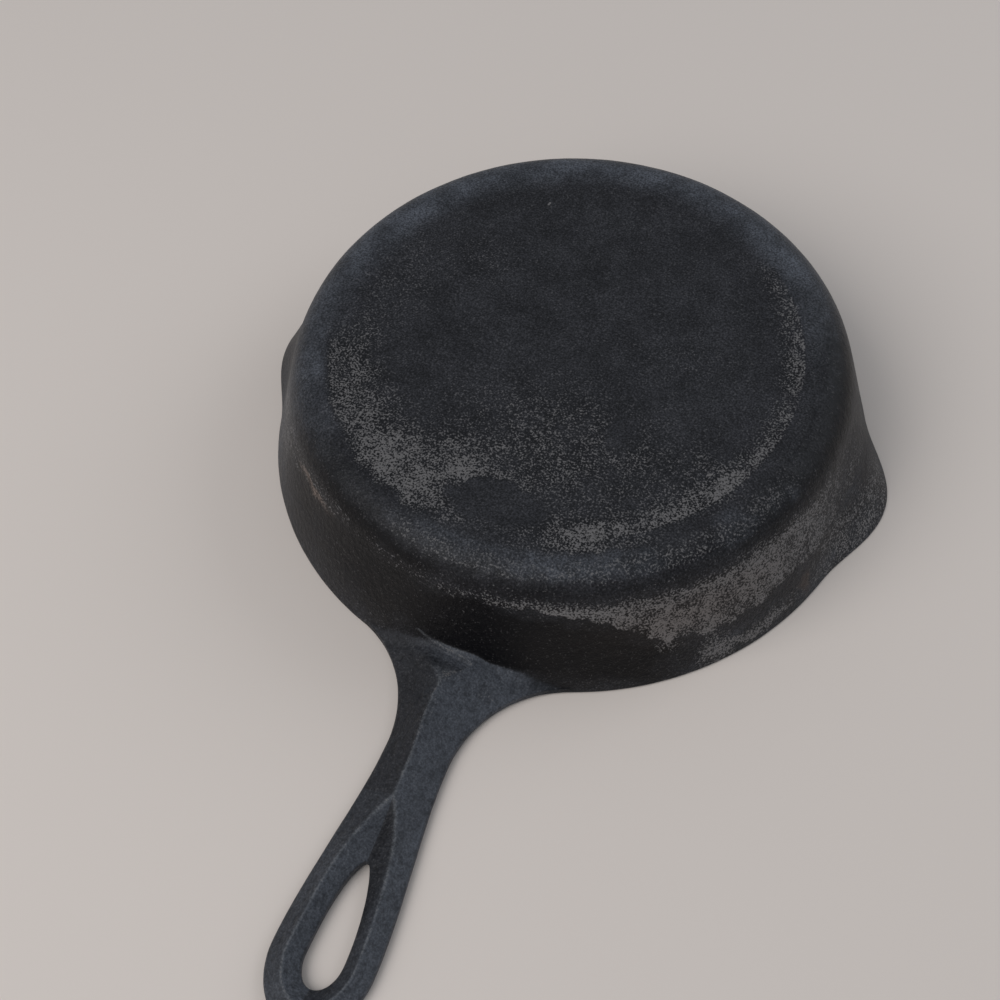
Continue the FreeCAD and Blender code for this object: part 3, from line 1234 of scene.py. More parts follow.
    def loop_skin(self) -> Skin:
        """Loop with its divided ridge round the hanging hole.

        Returns:
            The skin.
        """
        s = self.sizes
        outer, inner, opening = self.loop_lines()
        width = np.linalg.norm(outer - inner, axis=1)
        crest = self.crest_shares(outer, inner) * width
        fork_slope = (s.fork_ridge_height - s.edge_height) / float(self.half_width(s.fork_distance))
        loop_slope = (s.loop_ridge_height - s.edge_height) / (width - crest)
        past_fork = np.clip((inner[:, 1] - s.fork_distance) / (s.hole_start - s.fork_distance), 0, 1)
        fall_slope = fork_slope + (loop_slope - fork_slope) * past_fork
        top = s.edge_height + fall_slope * (width - crest)
        at_hole = ease((inner[:, 1] - s.hole_start) / s.hole_run)
        hole_slope = (top - s.hole_edge_height) / np.maximum(crest, 1 * MM)
        rise_slope = s.valley_slope + (hole_slope - s.valley_slope) * at_hole
        bottom = top - rise_slope * crest
        place = self.half_samples(width)
        share = place / width[:, None]
        plan = inner[:, None, :] + (outer - inner)[:, None, :] * share[..., None]
        rise = bottom[:, None] + rise_slope[:, None] * place
        fall = s.edge_height + fall_slope[:, None] * (width[:, None] - place)
        height = soft_min(rise, fall, s.ridge_rounding)
        gap = rise - fall
        under = s.under_rounding_share
        to_outline = width[:, None] - place
        height = self.rounded(height, to_outline, s.edge_rounding, True)
        low = self.rounded(np.full(place.shape, s.lift), to_outline, under * s.edge_rounding, False)
        inner_radius = np.maximum(opening, 1e-6)[:, None] * under * s.edge_rounding
        height = self.rounded(height, place, inner_radius, True)
        low = self.rounded(low, place, under * inner_radius, False)
        skin = Skin()
        for mirror in (1.0, -1.0):
            self.add_arm(skin, plan, height, low, gap, mirror)
        return skin

    def add_arm(
        self, skin: Skin, plan: Array, height: Array, low: Array, gap: Array, mirror: float
    ) -> None:
        """Add one half of the loop.

        Args:
            skin: Skin to add to.
            plan: Side and distance of each sample, by row and across.
            height: Heights of the upper face.
            low: Heights of the lower face.
            gap: How far the inner face's height is above the outer one's.
            mirror: 1 for the right half and -1 for the left half.
        """
        s = self.sizes
        rows, across = height.shape
        grid = np.arange(rows * across).reshape(rows, across)
        room = 1 - (plan[..., 0] / plan[:, -1:, 0].clip(1e-6)) ** 2
        lean = s.loop_lean * room * ease((plan[..., 1] - s.hole_start) / (s.hole_belly - s.hole_start))
        side = mirror * plan[..., 0] + np.maximum(lean, 0.0)
        marks = s.marks(gap) if mirror > 0 else s.marks(-gap, self.inner_left_lit_share, self.outer_left_lit_share)
        upper, lower = (
            skin.add_points(np.concatenate([np.stack([side, -plan[..., 1], face], axis=-1), marks], axis=-1))
            + grid
            for face in (height, low)
        )
        first = self.valley_rows - 1
        groups = [
            (quads(upper[:, -1], lower[:, -1])[:, ::-1], False),
            (quads(upper[first:, 0], lower[first:, 0]), False),
        ]
        for row in range(rows - 1):
            groups.append((quads(upper[row + 1], upper[row]), False))
            groups.append((quads(lower[row], lower[row + 1]), False))
        groups.append((quads(upper[0], lower[0]), True))
        for faces, shared in groups:
            skin.add_faces(faces if mirror > 0 else faces[:, ::-1], shared)

    def build(self, finishes: dict[Slot, bpy.types.Material]) -> list["Piece"]:
        """Build every region of the handle.

        Args:
            finishes: Material for each slot.

        Returns:
            The pieces.
        """
        plan = [
            ("handle_root", self.root_skin()),
            ("handle_shank", self.shank_skin()),
            ("hanging_loop", self.loop_skin()),
        ]
        pieces = []
        for node, skin in plan:
            source = skin.to_object(node + "_blank")
            made = run_tree(source, self.tree, {"Material": finishes[Slot.HANDLE]}, "iron_" + node)
            pieces.append(Piece(made, node, Slot.HANDLE))
        return pieces


# ---------------------------------------------------------------- pieces


@dataclass
class Piece:
    """A finished piece and the node that it stands for."""

    made: bpy.types.Object
    node: str
    slot: Slot

    def declare(self) -> None:
        """Tie the piece to the frame and report it."""
        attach(self.made, BODY)
        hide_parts(self.node)
        LOG.info("%s: %d faces, for %s", self.made.name, len(self.made.data.polygons), self.node)


@dataclass(frozen=True)
class SeamShading:
    """Gives pieces that meet face to face the same shading along their seams."""

    crease: float = math.radians(50)
    same_side: float = math.cos(math.radians(50))
    grid: float = 0.02 * MM

    def apply(self, pieces: list[Piece]) -> None:
        """Smooth each piece, keep its creases, and even out the directions along shared edges.

        Args:
            pieces: The pieces, whose meshes are final.
        """
        keys, normals, owners = [], [], []
        for number, piece in enumerate(pieces):
            mesh = piece.made.data
            mesh.polygons.foreach_set("use_smooth", np.ones(len(mesh.polygons), bool))
            mesh.set_sharp_from_angle(angle=self.crease)
            place = np.empty(len(mesh.vertices) * 3, np.float32)
            mesh.vertices.foreach_get("co", place)
            corner = np.empty(len(mesh.loops), np.int32)
            mesh.loops.foreach_get("vertex_index", corner)
            normal = np.empty(len(mesh.loops) * 3, np.float32)
            mesh.corner_normals.foreach_get("vector", normal)
            keys.append(np.round(place.reshape(-1, 3)[corner] / self.grid).astype(np.int64))
            normals.append(normal.reshape(-1, 3).astype(float))
            owners.append(np.full(len(corner), number))
        key, normal, owner = np.concatenate(keys), np.concatenate(normals), np.concatenate(owners)
        _, group = np.unique(key, axis=0, return_inverse=True)
        group = group.reshape(-1)
        low, high = np.full(group.max() + 1, len(pieces)), np.full(group.max() + 1, -1)
        np.minimum.at(low, group, owner)
        np.maximum.at(high, group, owner)
        meeting = np.flatnonzero(low[group] != high[group])
        order = meeting[np.argsort(group[meeting], kind="stable")]
        evened = normal.copy()
        for members in np.split(order, np.flatnonzero(np.diff(group[order])) + 1):
            alike = normal[members] @ normal[members].T > self.same_side
            total = alike @ normal[members]
            evened[members] = total / np.linalg.norm(total, axis=1)[:, None]
        for number, piece in enumerate(pieces):
            piece.made.data.normals_split_custom_set(evened[owner == number].tolist())


# ---------------------------------------------------------------- finish


@dataclass(frozen=True)
class Patch:
    """Soft-edged oval of wear, of thicker seasoning below zero, or of soot, painted shade, painted sheen or
    rust.

    On the flat floor its place and size are millimetres along X and Y. On the wall they are degrees round the
    bowl's axis and millimetres of height.
    """

    middle: Point
    size: Point
    strength: float
    turn: float = 0.0
    softness: float = 0.6


Ramp = tuple[float, ...]
Span = tuple[float, float, float]
WANDER_SIZE = 7.0
RAGGED_REACH = 9.0
EASED_REACH = 3.0
PAST_WALL: Ramp = (0.04, 0.5)
PAST_LIPS: Ramp = (-96.0, -100.0)
DEGREES = 360.0


class IronTree(Tree):
    """Shader tree with the patterns that every iron finish draws on."""

    def __init__(self, tree: bpy.types.NodeTree, sizes: BowlSizes) -> None:
        """Start with object coordinates in millimetres, and with how surely a place is on the handle.

        Args:
            tree: Tree to add to.
            sizes: Sizes of the bowl that the patterns are laid out on.
        """
        super().__init__(tree)
        place = self.node("ShaderNodeTexCoord").outputs["Object"]
        self.place = self.scaled(place, 1 / MM)
        inputs = {"Vector": self.place, "Scale": 1 / WANDER_SIZE, "Detail": 3.0}
        wander = self.node("ShaderNodeTexNoise", inputs)
        wander = self.vector("SUBTRACT", wander.outputs["Color"], (0.5, 0.5, 0.5))
        self.ragged = self.vector("ADD", self.place, self.scaled(wander, RAGGED_REACH))
        self.eased = self.vector("ADD", self.place, self.scaled(wander, EASED_REACH))
        _, height, radius = self.round_the_bowl(self.place)
        past_wall = self.linear(height, sizes.wall_slope, radius)
        past_wall = self.minus(past_wall, sizes.rim_radius / MM)
        past_lips = self.remap(self.separate(self.place)[1], *PAST_LIPS)
        self.on_handle = self.times(self.remap(past_wall, *PAST_WALL), past_lips)

    def round_the_bowl(self, place: Socket) -> tuple[Socket, Socket, Socket]:
        """Where a place is round the bowl.

        Args:
            place: Place in millimetres.

        Returns:
            Angle in degrees, height and radius.
        """
        x, y, z = self.separate(place)
        angle = self.math("DEGREES", self.math("ARCTAN2", y, x))
        radius = self.math("SQRT", self.plus(self.times(x, x), self.times(y, y)))
        return angle, z, radius

    def patches(self, flat_place: Socket, patches: tuple[Patch, ...]) -> Socket:
        """Sum of some patches.

        Args:
            flat_place: Vector whose X and Y are what the patches are laid out in.
            patches: The patches.

        Returns:
            The sum of their strengths at each place.
        """
        total: Socket | float = 0.0
        for patch in patches:
            unit = self.node("ShaderNodeMapping", {
                "Vector": flat_place,
                "Location": (*patch.middle, 0.0),
                "Rotation": (0.0, 0.0, math.radians(patch.turn)),
                "Scale": (*patch.size, 1000.0),
            }, vector_type="TEXTURE").outputs[0]
            reach = self.vector("LENGTH", unit)
            outside, inside = 1.0 + patch.softness, max(1.0 - patch.softness, 0.0)
            level = self.remap(reach, outside, inside, 0.0, patch.strength)
            total = self.plus(total, level)
        return total

    def window(self, value: Socket, low: float, high: float, soft: float) -> Socket:
        """One between low and high, easing to zero outside.

        Args:
            value: What is inside or outside.
            low: Lower end.
            high: Upper end.
            soft: How far each end eases, to either side.

        Returns:
            The result.
        """
        rise = self.remap(value, low - soft, low + soft)
        fall = self.remap(value, high + soft, high - soft)
        return self.times(rise, fall)

    def blend(self, factor: Socket, first: object, second: object) -> Socket:
        """Mix of two numbers."""
        made = self.node("ShaderNodeMix", {0: factor, 2: first, 3: second}, data_type="FLOAT")
        return made.outputs[0]

    def mark(self, label: str) -> Socket:
        """A number that is stored for each point."""
        return self.node("ShaderNodeAttribute", attribute_name=label).outputs["Fac"]

    def by_part(self, on_bowl: object, on_handle: object) -> object:
        """One number on the bowl and another on the handle."""
        return on_bowl if on_bowl == on_handle else self.blend(self.on_handle, on_bowl, on_handle)

    def shown(self, pattern: Socket, contrast: "Contrast") -> Socket:
        """How much a pattern lightens or darkens each place."""
        dark, light = self.by_part(*contrast.dark), self.by_part(*contrast.light)
        return self.remap(pattern, contrast.low, contrast.high, dark, light)

    def mix(self, factor: Socket, first: object, second: object) -> Socket:
        """Mix of two colours.

        Args:
            factor: Share of the second colour.
            first: First colour.
            second: Second colour.

        Returns:
            The mixed colour.
        """
        made = self.node("ShaderNodeMix", data_type="RGBA")
        for key, value in ((0, factor), (6, first), (7, second)):
            if isinstance(value, tuple) and len(value) == 3:
                value = (*value, 1.0)
            self.feed(made.inputs[key], value)
        return made.outputs[2]


@dataclass(frozen=True)
class Contrast:
    """How strongly a pattern shows. Dark and light are factors for the bowl and for the handle."""

    low: float
    high: float
    dark: Point
    light: Point


@dataclass(frozen=True)
class Marks:
    """Patches in plan, on the floor or the handle, and round the wall: wear, soot and painted shade, painted
    sheen, rust.
    """

    plan_wear: tuple[Patch, ...] = ()
    wall_wear: tuple[Patch, ...] = ()
    plan_soot_and_shade: tuple[Patch, ...] = ()
    wall_soot_and_shade: tuple[Patch, ...] = ()
    plan_sheen: tuple[Patch, ...] = ()
    wall_sheen: tuple[Patch, ...] = ()
    wall_rust: tuple[Patch, ...] = ()


BOWL_MARKS = Marks(
    plan_wear=(
        Patch((-20.0, -71.0), (24.0, 15.0), 0.62),
        Patch((-54.0, -58.0), (32.0, 13.0), 0.62, -49.0),
        Patch((33.0, -77.0), (22.0, 7.0), 0.52, 12.0),
        Patch((14.0, -46.0), (40.0, 24.0), 0.40, 0.0, 0.9),
        Patch((66.0, -42.0), (12.0, 9.0), 0.30, -32.0, 0.8),
        Patch((0.0, -73.0), (17.0, 8.0), -0.85, 0.0, 0.25),
        Patch((31.0, -31.0), (5.0, 7.0), -0.45),
        Patch((-48.0, 28.0), (18.0, 10.0), 0.16, 0.0, 0.9),
        Patch((-70.0, 6.0), (12.0, 18.0), 0.20, 0.0, 0.9),
        Patch((42.0, 8.0), (16.0, 10.0), 0.14, 0.0, 0.9),
        Patch((-74.0, -30.0), (10.0, 16.0), 0.35, 0.0, 0.8),
        Patch((-32.0, 63.0), (0.7, 0.7), 2.0, 0.0, 0.3),
        Patch((65.0, -38.0), (0.7, 0.7), 2.0, 0.0, 0.3),
    ),
    wall_wear=(
        Patch((-43.0, 6.0), (3.5, 9.0), 0.75),
        Patch((-35.0, 6.0), (7.0, 2.6), 0.85),
        Patch((-27.0, 7.0), (5.0, 4.0), 0.3),
        Patch((-11.0, 9.0), (8.0, 11.0), 0.55),
        Patch((-130.0, 35.5), (6.0, 2.4), 0.45),
        Patch((-148.0, 28.0), (8.0, 10.0), 0.30),
        Patch((-52.0, 17.5), (2.5, 3.5), 0.45),
        Patch((3.0, 8.0), (9.0, 9.0), 0.55),
        Patch((-157.0, 18.0), (9.0, 16.0), 0.40),
    ),
    wall_soot_and_shade=(
        # painted shade on the wall just above the handle root
        Patch((-84.0, 24.0), (13.0, 14.0), 1.15, 0.0, 0.5),
        Patch((-67.0, 20.0), (13.0, 15.0), 1.00, 0.0, 0.6),
        Patch((-54.0, 9.0), (8.0, 10.0), 0.65, 0.0, 0.5),
        Patch((-102.0, 25.0), (15.0, 20.0), 0.75, 0.0, 0.8),
        Patch((-124.0, 29.0), (17.0, 19.0), 0.75, 0.0, 0.8),
        Patch((-138.0, 20.0), (10.0, 20.0), 0.25, 0.0, 0.8),
        Patch((-120.0, 45.0), (14.0, 4.0), 0.45, 0.0, 0.8),
        Patch((-26.0, 9.0), (7.0, 9.0), 0.35, 0.0, 0.8),
        Patch((-80.0, 45.2), (26.0, 2.6), 0.60, 0.0, 0.9),
        Patch((-45.0, 46.0), (20.0, 2.0), 0.10, 0.0, 0.9),
        Patch((0.0, 47.0), (30.0, 5.0), 0.75, 0.0, 0.7),
        Patch((12.0, 20.0), (14.0, 26.0), 0.5, 0.0, 0.8),
    ),
    # painted sheen round the wall: lighter bluish patches; those near 50 mm high are painted highlights along
    # the heel
    wall_sheen=(
        Patch((-90.0, 51.0), (20.0, 1.6), 0.26, 0.0, 0.6),
        Patch((-152.0, 50.0), (18.0, 4.0), 0.35, 0.0, 0.8),
        Patch((-8.0, 6.0), (10.0, 7.0), 0.25, 0.0, 0.8),
        Patch((-68.0, 50.4), (11.0, 1.7), 0.45, 0.0, 0.6),
        Patch((-54.0, 50.2), (3.0, 1.6), 0.40, 0.0, 0.6),
        Patch((-34.0, 49.6), (5.0, 2.2), 0.40, 0.0, 0.6),
        Patch((-22.0, 48.5), (4.0, 2.2), 0.30, 0.0, 0.6),
        Patch((-155.0, 20.0), (12.0, 30.0), 0.45, 0.0, 0.8),
        Patch((-30.0, 5.0), (22.0, 7.0), 0.25, 0.0, 0.8),
        Patch((-8.0, 28.0), (12.0, 9.0), 0.20, 0.0, 0.8),
    ),
    wall_rust=(
        Patch((-21.5, 9.0), (1.2, 5.0), 0.8),
        Patch((-130.0, 35.5), (6.0, 2.4), 0.5),
        Patch((-48.0, 28.0), (16.0, 9.0), 0.16, 0.0, 0.9),
    ),
)

HANDLE_MARKS = Marks(
    plan_wear=(
        Patch((-1.0, -133.0), (1.6, 12.0), 0.22, 0.0, 0.8),
        Patch((3.0, -119.5), (1.8, 5.0), 0.25, -38.0, 0.8),
        Patch((14.5, -121.0), (3.0, 3.0), 0.30, 30.0, 0.8),
        Patch((-5.0, -111.0), (13.0, 1.4), 0.30, -11.0, 0.8),
    ),
    # painted shade: darkens the root's left hollow, where the right flare meets the wall, the loop's inner
    # right-hand face and the fork's valley
    plan_soot_and_shade=(
        Patch((-11.0, -128.0), (8.0, 18.0), 0.22, 0.0, 0.8),
        Patch((38.0, -106.0), (13.0, 7.0), 0.60, 25.0, 0.8),
        Patch((5.2, -207.0), (2.4, 24.0), 0.25, -3.0, 0.7),
        Patch((2.0, -180.0), (1.6, 9.0), 0.35, 4.0, 0.7),
    ),
    # painted light: lightens the root's right-hand face, its ledge, the loop's faces and its tip
    plan_sheen=(
        Patch((11.0, -122.0), (13.0, 14.0), 0.42, 0.0, 0.8),
        Patch((3.0, -111.8), (15.0, 4.0), 0.60, 0.0, 0.8),
        Patch((13.0, -210.0), (5.0, 34.0), 0.35, -3.0, 0.8),
        Patch((-12.0, -212.0), (9.0, 30.0), 0.16, 5.0, 0.8),
        Patch((0.0, -239.0), (16.0, 8.0), 0.20, 0.0, 0.8),
    ),
)


@dataclass(frozen=True)
class IronFinish:
    """Seasoned cast iron, sooty in places and worn back to bare metal in others, with painted shade, sheen
    and highlights.

    Every slot draws on one pattern laid out over the whole casting, so it runs on across the seams. Lengths
    are millimetres and angles are degrees round the bowl. A ramp is where it starts and ends, with its values
    there unless they are 0 and 1. A span is where it starts and ends, and how softly.
    """

    name: str
    marks: Marks = BOWL_MARKS
    handle_marks: Marks = HANDLE_MARKS
    seasoned: Colour = (0.0215, 0.0218, 0.0250)
    # colour of the soot, and of the painted shade on the handle and above its root
    soot_and_shade: Colour = (0.0018, 0.0017, 0.0026)
    # colour of the painted sheen, and of the painted light on the handle's right-hand faces
    painted_sheen: Colour = (0.064, 0.070, 0.083)
    bare: Colour = (0.150, 0.144, 0.144)
    rust: Colour = (0.150, 0.100, 0.072)
    # lighter colour of the handle's rubbed ridges, with a painted highlight in it
    rubbed_highlight: Colour = (0.150, 0.155, 0.165)
    grain_size: float = 0.72
    pit_size: float = 2.3
    mottle_size: float = 14.0
    patch_size: float = 8.0
    scuff_size: float = 5.0
    rub_highlight_size: float = 6.0
    grain_height: float = 0.20
    pit_height: float = 0.45
    handle_coarseness: float = 1.6
    grain_contrast: Contrast = Contrast(0.36, 0.64, (0.50, 0.74), (1.55, 1.27))
    pit_contrast: Contrast = Contrast(0.34, 0.50, (0.92, 0.74), (1.05, 1.05))
    mottle_contrast: Contrast = Contrast(0.34, 0.68, (0.80, 0.93), (1.22, 1.07))
    sheen_mottle: Ramp = (0.3, 0.7)
    sheen_unevenness: Point = (0.75, 0.92)
    soot_and_shade_unevenness: Ramp = (0.3, 0.7, 1.15, 0.85)
    quiet_level: float = 0.66
    worn_level: float = 0.445
    least_wear: float = 0.06
    pit_specks: float = 0.20
    speck_edge: Point = (0.05, 0.09)
    speck_cover: Ramp = (0.0, 0.45, 0.35, 0.92)
    thin_cover: Ramp = (0.1, 0.7, 1.0, 0.72)
    roughness: float = 0.46
    bare_roughness: float = 0.72
    uneven_roughness: float = 0.25
    specular: float = 0.18
    wall_start: Point = (95.0, 105.0)
    wall_shine: float = 1.30
    rust_stain: float = 0.25
    # strengths of the painted light on the handle's faces and the painted highlight along its ridges
    face_sheen: float = 0.80
    ridge_sheen: float = 0.30
    least_sheen: float = 0.06
    scuffing: Ramp = (0.36, 0.62, 0.0, 0.34)
    least_scuff: float = 0.04
    rub_highlight_patchiness: Ramp = (0.34, 0.60, 0.30, 1.0)
    rub_highlight_grain: Ramp = (0.38, 0.56, 0.35, 1.0)
    rubbed_highlight_share: float = 0.62
    floor_edge: Ramp = (91.0, 87.0)
    patchiness: Ramp = (0.32, 0.64, 0.58, 1.18)
    ring_angles: Span = (-64.0, 44.0, 14.0)
    ring_inside: Ramp = (72.0, 82.0)
    ring_outside: Ramp = (84.8, 83.2, 0.0, 0.62)
    # band of bare specks round the heel, which also stands for a painted sparkle highlight there
    heel_angles: Span = (-108.0, -18.0, 5.0)
    heel_heights: Span = (48.5, 51.6, 0.6)
    heel_outside: Ramp = (88.0, 90.0, 0.0, 0.34)
    burnt_angles: Span = (-84.0, -12.0, 16.0)
    burnt_foot: Ramp = (-0.6, 1.0)
    burnt_top: Ramp = (44.5, 38.5)
    burnt_ripple: float = 11.0
    burnt_strength: Point = (0.60, 0.26)
    burnt_line: tuple[Point, ...] = (
        (-180, 24), (-150, 27), (-112, 39), (-92, 38), (-75, 37.5), (-66, 34.5), (-58, 26.5), (-47, 18),
        (-33, 17.5), (-15, 20), (0, 25), (30, 22), (180, 24),
    )
    burnt_line_scale: float = 60.0
    scratch_places: tuple[tuple[Span, Span], ...] = (
        ((37.0, 48.5, 1.5), (-160.0, -14.0, 12.0)),
        ((21.0, 29.0, 1.5), (-134.0, -112.0, 3.0)),
    )
    scratch_tilt: float = 0.06
    scratch_fineness: Point = (0.055, 1.5)
    scratch_lines: Ramp = (0.60, 0.70)
    scratch_strength: float = 0.45
    # painted bluish sheen on the far side of the heel and the floor's edge
    far_sheen_lean: float = 0.25
    far_sheen_start: Ramp = (-25.0, 60.0)
    far_sheen_radius: Ramp = (77.0, 90.0)
    far_sheen_height: Ramp = (41.0, 47.0)
    far_sheen_strength: float = 0.68

    def spread(
        self, tree: IronTree, plan: tuple[Patch, ...], wall: tuple[Patch, ...], ragged: bool
    ) -> Socket:
        """Patches in plan over the floor and round the wall elsewhere.

        Args:
            tree: Tree to add to.
            plan: Patches in plan.
            wall: Patches round the wall.
            ragged: Whether their edges are ragged.

        Returns:
            The sum of their strengths.
        """
        flat = tree.ragged if ragged else tree.eased
        angle, height, radius = tree.round_the_bowl(flat)
        in_plan = tree.patches(flat, plan)
        round_wall = tree.patches(tree.combine(angle, height, 0.0), wall)
        return tree.blend(tree.remap(radius, *self.floor_edge), round_wall, in_plan)

    def wear(self, tree: IronTree) -> Socket:
        """How far the seasoning is worn off at each place, from 0 to 1; the heel's worn specks are also a
        painted sparkle highlight.

        Args:
            tree: Tree to add to.

        Returns:
            The wear.
        """
        angle, height, radius = tree.round_the_bowl(tree.place)
        patches = self.spread(tree, self.marks.plan_wear, self.marks.wall_wear, True)
        ring = tree.times(tree.window(angle, *self.ring_angles), tree.remap(radius, *self.ring_inside))
        # heel band: worn specks that also stand for a painted sparkle highlight
        heel = tree.times(tree.window(angle, *self.heel_angles), tree.window(height, *self.heel_heights))
        ring = tree.times(ring, tree.remap(radius, *self.ring_outside))
        heel = tree.times(heel, tree.remap(radius, *self.heel_outside))
        marks = tree.plus(tree.plus(patches, ring), tree.plus(heel, self.burnt_band(tree)))
        patchy = tree.remap(tree.noise(tree.place, 1 / self.patch_size, 4.0, 0.6), *self.patchiness)
        total = tree.linear(marks, patchy, self.least_wear)
        total = tree.plus(total, self.scratches(tree))
        return tree.by_part(total, self.handle_wear(tree))

    def burnt_band(self, tree: IronTree) -> Socket:
        """Seasoning burnt off the wall below the heel.

        Args:
            tree: Tree to add to.

        Returns:
            How far it is burnt off.
        """
        angle, height, _ = tree.round_the_bowl(tree.place)
        ragged = tree.minus(tree.noise(tree.place, 1 / self.patch_size, 4.0, 0.6), 0.5)
        ragged = tree.linear(ragged, self.burnt_ripple, height)
        curve = tree.node("ShaderNodeFloatCurve", {"Value": tree.linear(angle, 1 / DEGREES, 0.5)})
        self.lower_edge(curve)
        above = tree.minus(ragged, tree.times(curve.outputs[0], self.burnt_line_scale))
        band = tree.times(tree.remap(above, *self.burnt_foot), tree.remap(ragged, *self.burnt_top))
        strong = tree.window(angle, *self.burnt_angles)
        return tree.times(band, tree.linear(strong, *self.burnt_strength))

    def lower_edge(self, curve: bpy.types.Node) -> None:
        """Set the height of the burnt band's lower edge round the bowl.

        Args:
            curve: Node whose curve is set.
        """
        line = curve.mapping.curves[0]
        while len(line.points) < len(self.burnt_line):
            line.points.new(0.5, 0.5)
        for point, (angle, height) in zip(line.points, self.burnt_line):
            point.location = (angle / DEGREES + 0.5, height / self.burnt_line_scale)
        curve.mapping.update()

    def scratches(self, tree: IronTree) -> Socket:
        """Thin scratches that run round the heel and the wall.

        Args:
            tree: Tree to add to.

        Returns:
            How strongly they show.
        """
        angle, height, _ = tree.round_the_bowl(tree.place)
        tilted = tree.linear(angle, self.scratch_tilt, height)
        along, across = self.scratch_fineness
        place = tree.combine(tree.times(angle, along), tree.times(tilted, across), 0.0)
        lines = tree.noise(place, 1.0, 3.0)
        heel, left = (
            tree.times(tree.window(height, *heights), tree.window(angle, *angles))
            for heights, angles in self.scratch_places
        )
        where = tree.math("MAXIMUM", heel, left)
        return tree.times(tree.remap(lines, *self.scratch_lines), tree.times(where, self.scratch_strength))

    def handle_wear(self, tree: IronTree) -> Socket:
        """Rubbed ridges and scuffs of the handle.

        Args:
            tree: Tree to add to.

        Returns:
            The wear.
        """
        ridge = tree.mark(RIDGE)
        patchy = tree.remap(tree.noise(tree.place, 1 / self.scuff_size, 4.0, 0.65), *self.scuffing)
        scuffs = tree.patches(tree.eased, self.handle_marks.plan_wear)
        return tree.plus(tree.linear(ridge, patchy, self.least_scuff), scuffs)

    def shade(self, tree: IronTree, grain: Socket, pits: Socket, mottle: Socket) -> Socket:
        """Colour of the seasoning before any bare metal.

        Args:
            tree: Tree to add to.
            grain: Fine pattern of the cast skin.
            pits: Pattern of its pits.
            mottle: Broad pattern of the seasoning.

        Returns:
            The colour, with its soot and painted shade, painted sheen, mottling, and rubbed ridges with a
            painted highlight.
        """
        bowl, handle = self.marks, self.handle_marks
        # soot, with painted shade above the handle root and in the handle's hollows
        bowl_soot_and_shade = self.spread(tree, bowl.plan_soot_and_shade, bowl.wall_soot_and_shade, True)
        soot_and_shade = tree.by_part(bowl_soot_and_shade, tree.patches(tree.eased, handle.plan_soot_and_shade))
        # painted sheen on the bowl, painted light and highlights on the handle
        bowl_sheen = self.spread(tree, bowl.plan_sheen, bowl.wall_sheen, False)
        painted_sheen = tree.by_part(tree.plus(bowl_sheen, self.far_sheen(tree)), self.handle_sheen(tree))
        low = tree.by_part(*self.sheen_unevenness)
        uneven = tree.remap(mottle, *self.sheen_mottle, low, tree.minus(2.0, low))
        colour = tree.mix(tree.times(painted_sheen, uneven, clamp=True), self.seasoned, self.painted_sheen)
        lively = tree.shown(mottle, self.mottle_contrast)
        lively = tree.times(lively, tree.shown(grain, self.grain_contrast))
        lively = tree.times(lively, tree.shown(pits, self.pit_contrast))
        colour = tree.scaled(colour, lively)
        soot_and_shade = tree.times(soot_and_shade, tree.remap(mottle, *self.soot_and_shade_unevenness), clamp=True)
        return tree.mix(self.rubbed_highlight_mask(tree, grain), tree.mix(soot_and_shade, colour, self.soot_and_shade), self.rubbed_highlight)

    def handle_sheen(self, tree: IronTree) -> Socket:
        """Painted light on the handle's right-hand faces, and painted highlight along its ridges.

        Args:
            tree: Tree to add to.

        Returns:
            Strength of the painted light.
        """
        face, ridge = tree.mark(LIT_FACE), tree.mark(RIDGE)
        patches = tree.patches(tree.eased, self.handle_marks.plan_sheen)
        side = tree.linear(face, self.face_sheen, self.least_sheen)
        return tree.plus(tree.linear(ridge, self.ridge_sheen, side), patches)

    def rubbed_highlight_mask(self, tree: IronTree, grain: Socket) -> Socket:
        """How far the handle's ridges are rubbed to a lighter colour: worn ridges with a painted highlight on
        them.

        Args:
            tree: Tree to add to.
            grain: Fine pattern of the cast skin.

        Returns:
            Share of the rubbed, highlighted colour.
        """
        ridge = tree.mark(RIDGE)
        uneven = tree.remap(tree.noise(tree.place, 1 / self.rub_highlight_size, 3.0), *self.rub_highlight_patchiness)
        uneven = tree.times(uneven, tree.remap(grain, *self.rub_highlight_grain))
        return tree.times(tree.times(ridge, uneven), self.rubbed_highlight_share)

    def far_sheen(self, tree: IronTree) -> Socket:
        """Painted bluish sheen on the heel and the floor's edge, on the side away from the handle.

        Args:
            tree: Tree to add to.

        Returns:
            Strength of the painted sheen.
        """
        _, height, radius = tree.round_the_bowl(tree.place)
        x, y, _ = tree.separate(tree.place)
        across = tree.minus(y, tree.times(x, self.far_sheen_lean))
        far = tree.remap(across, *self.far_sheen_start)
        outer = tree.remap(radius, *self.far_sheen_radius)
        band = tree.times(outer, tree.remap(height, *self.far_sheen_height))
        return tree.times(tree.times(far, band), self.far_sheen_strength)

    def rust_marks(self, tree: IronTree) -> Socket:
        """Rust streaks on the wall.

        Args:
            tree: Tree to add to.

        Returns:
            Strength of the rust.
        """
        angle, height, _ = tree.round_the_bowl(tree.ragged)
        rust = tree.patches(tree.combine(angle, height, 0.0), self.marks.wall_rust)
        return tree.times(rust, tree.minus(1.0, tree.on_handle), clamp=True)

    def relief(self, tree: IronTree, grain: Socket, pits: Socket) -> Socket:
        """Normal of the grain and the pits, which are coarser on the handle.

        Args:
            tree: Tree to add to.
            grain: Fine pattern of the cast skin.
            pits: Pattern of its pits.

        Returns:
            The normal.
        """
        coarse = tree.by_part(1.0, self.handle_coarseness)
        relief = tree.times(tree.times(pits, self.pit_height), coarse)
        height = tree.linear(grain, self.grain_height, relief)
        return tree.node("ShaderNodeBump", {"Height": height, "Strength": 1.0, "Distance": MM}).outputs[0]

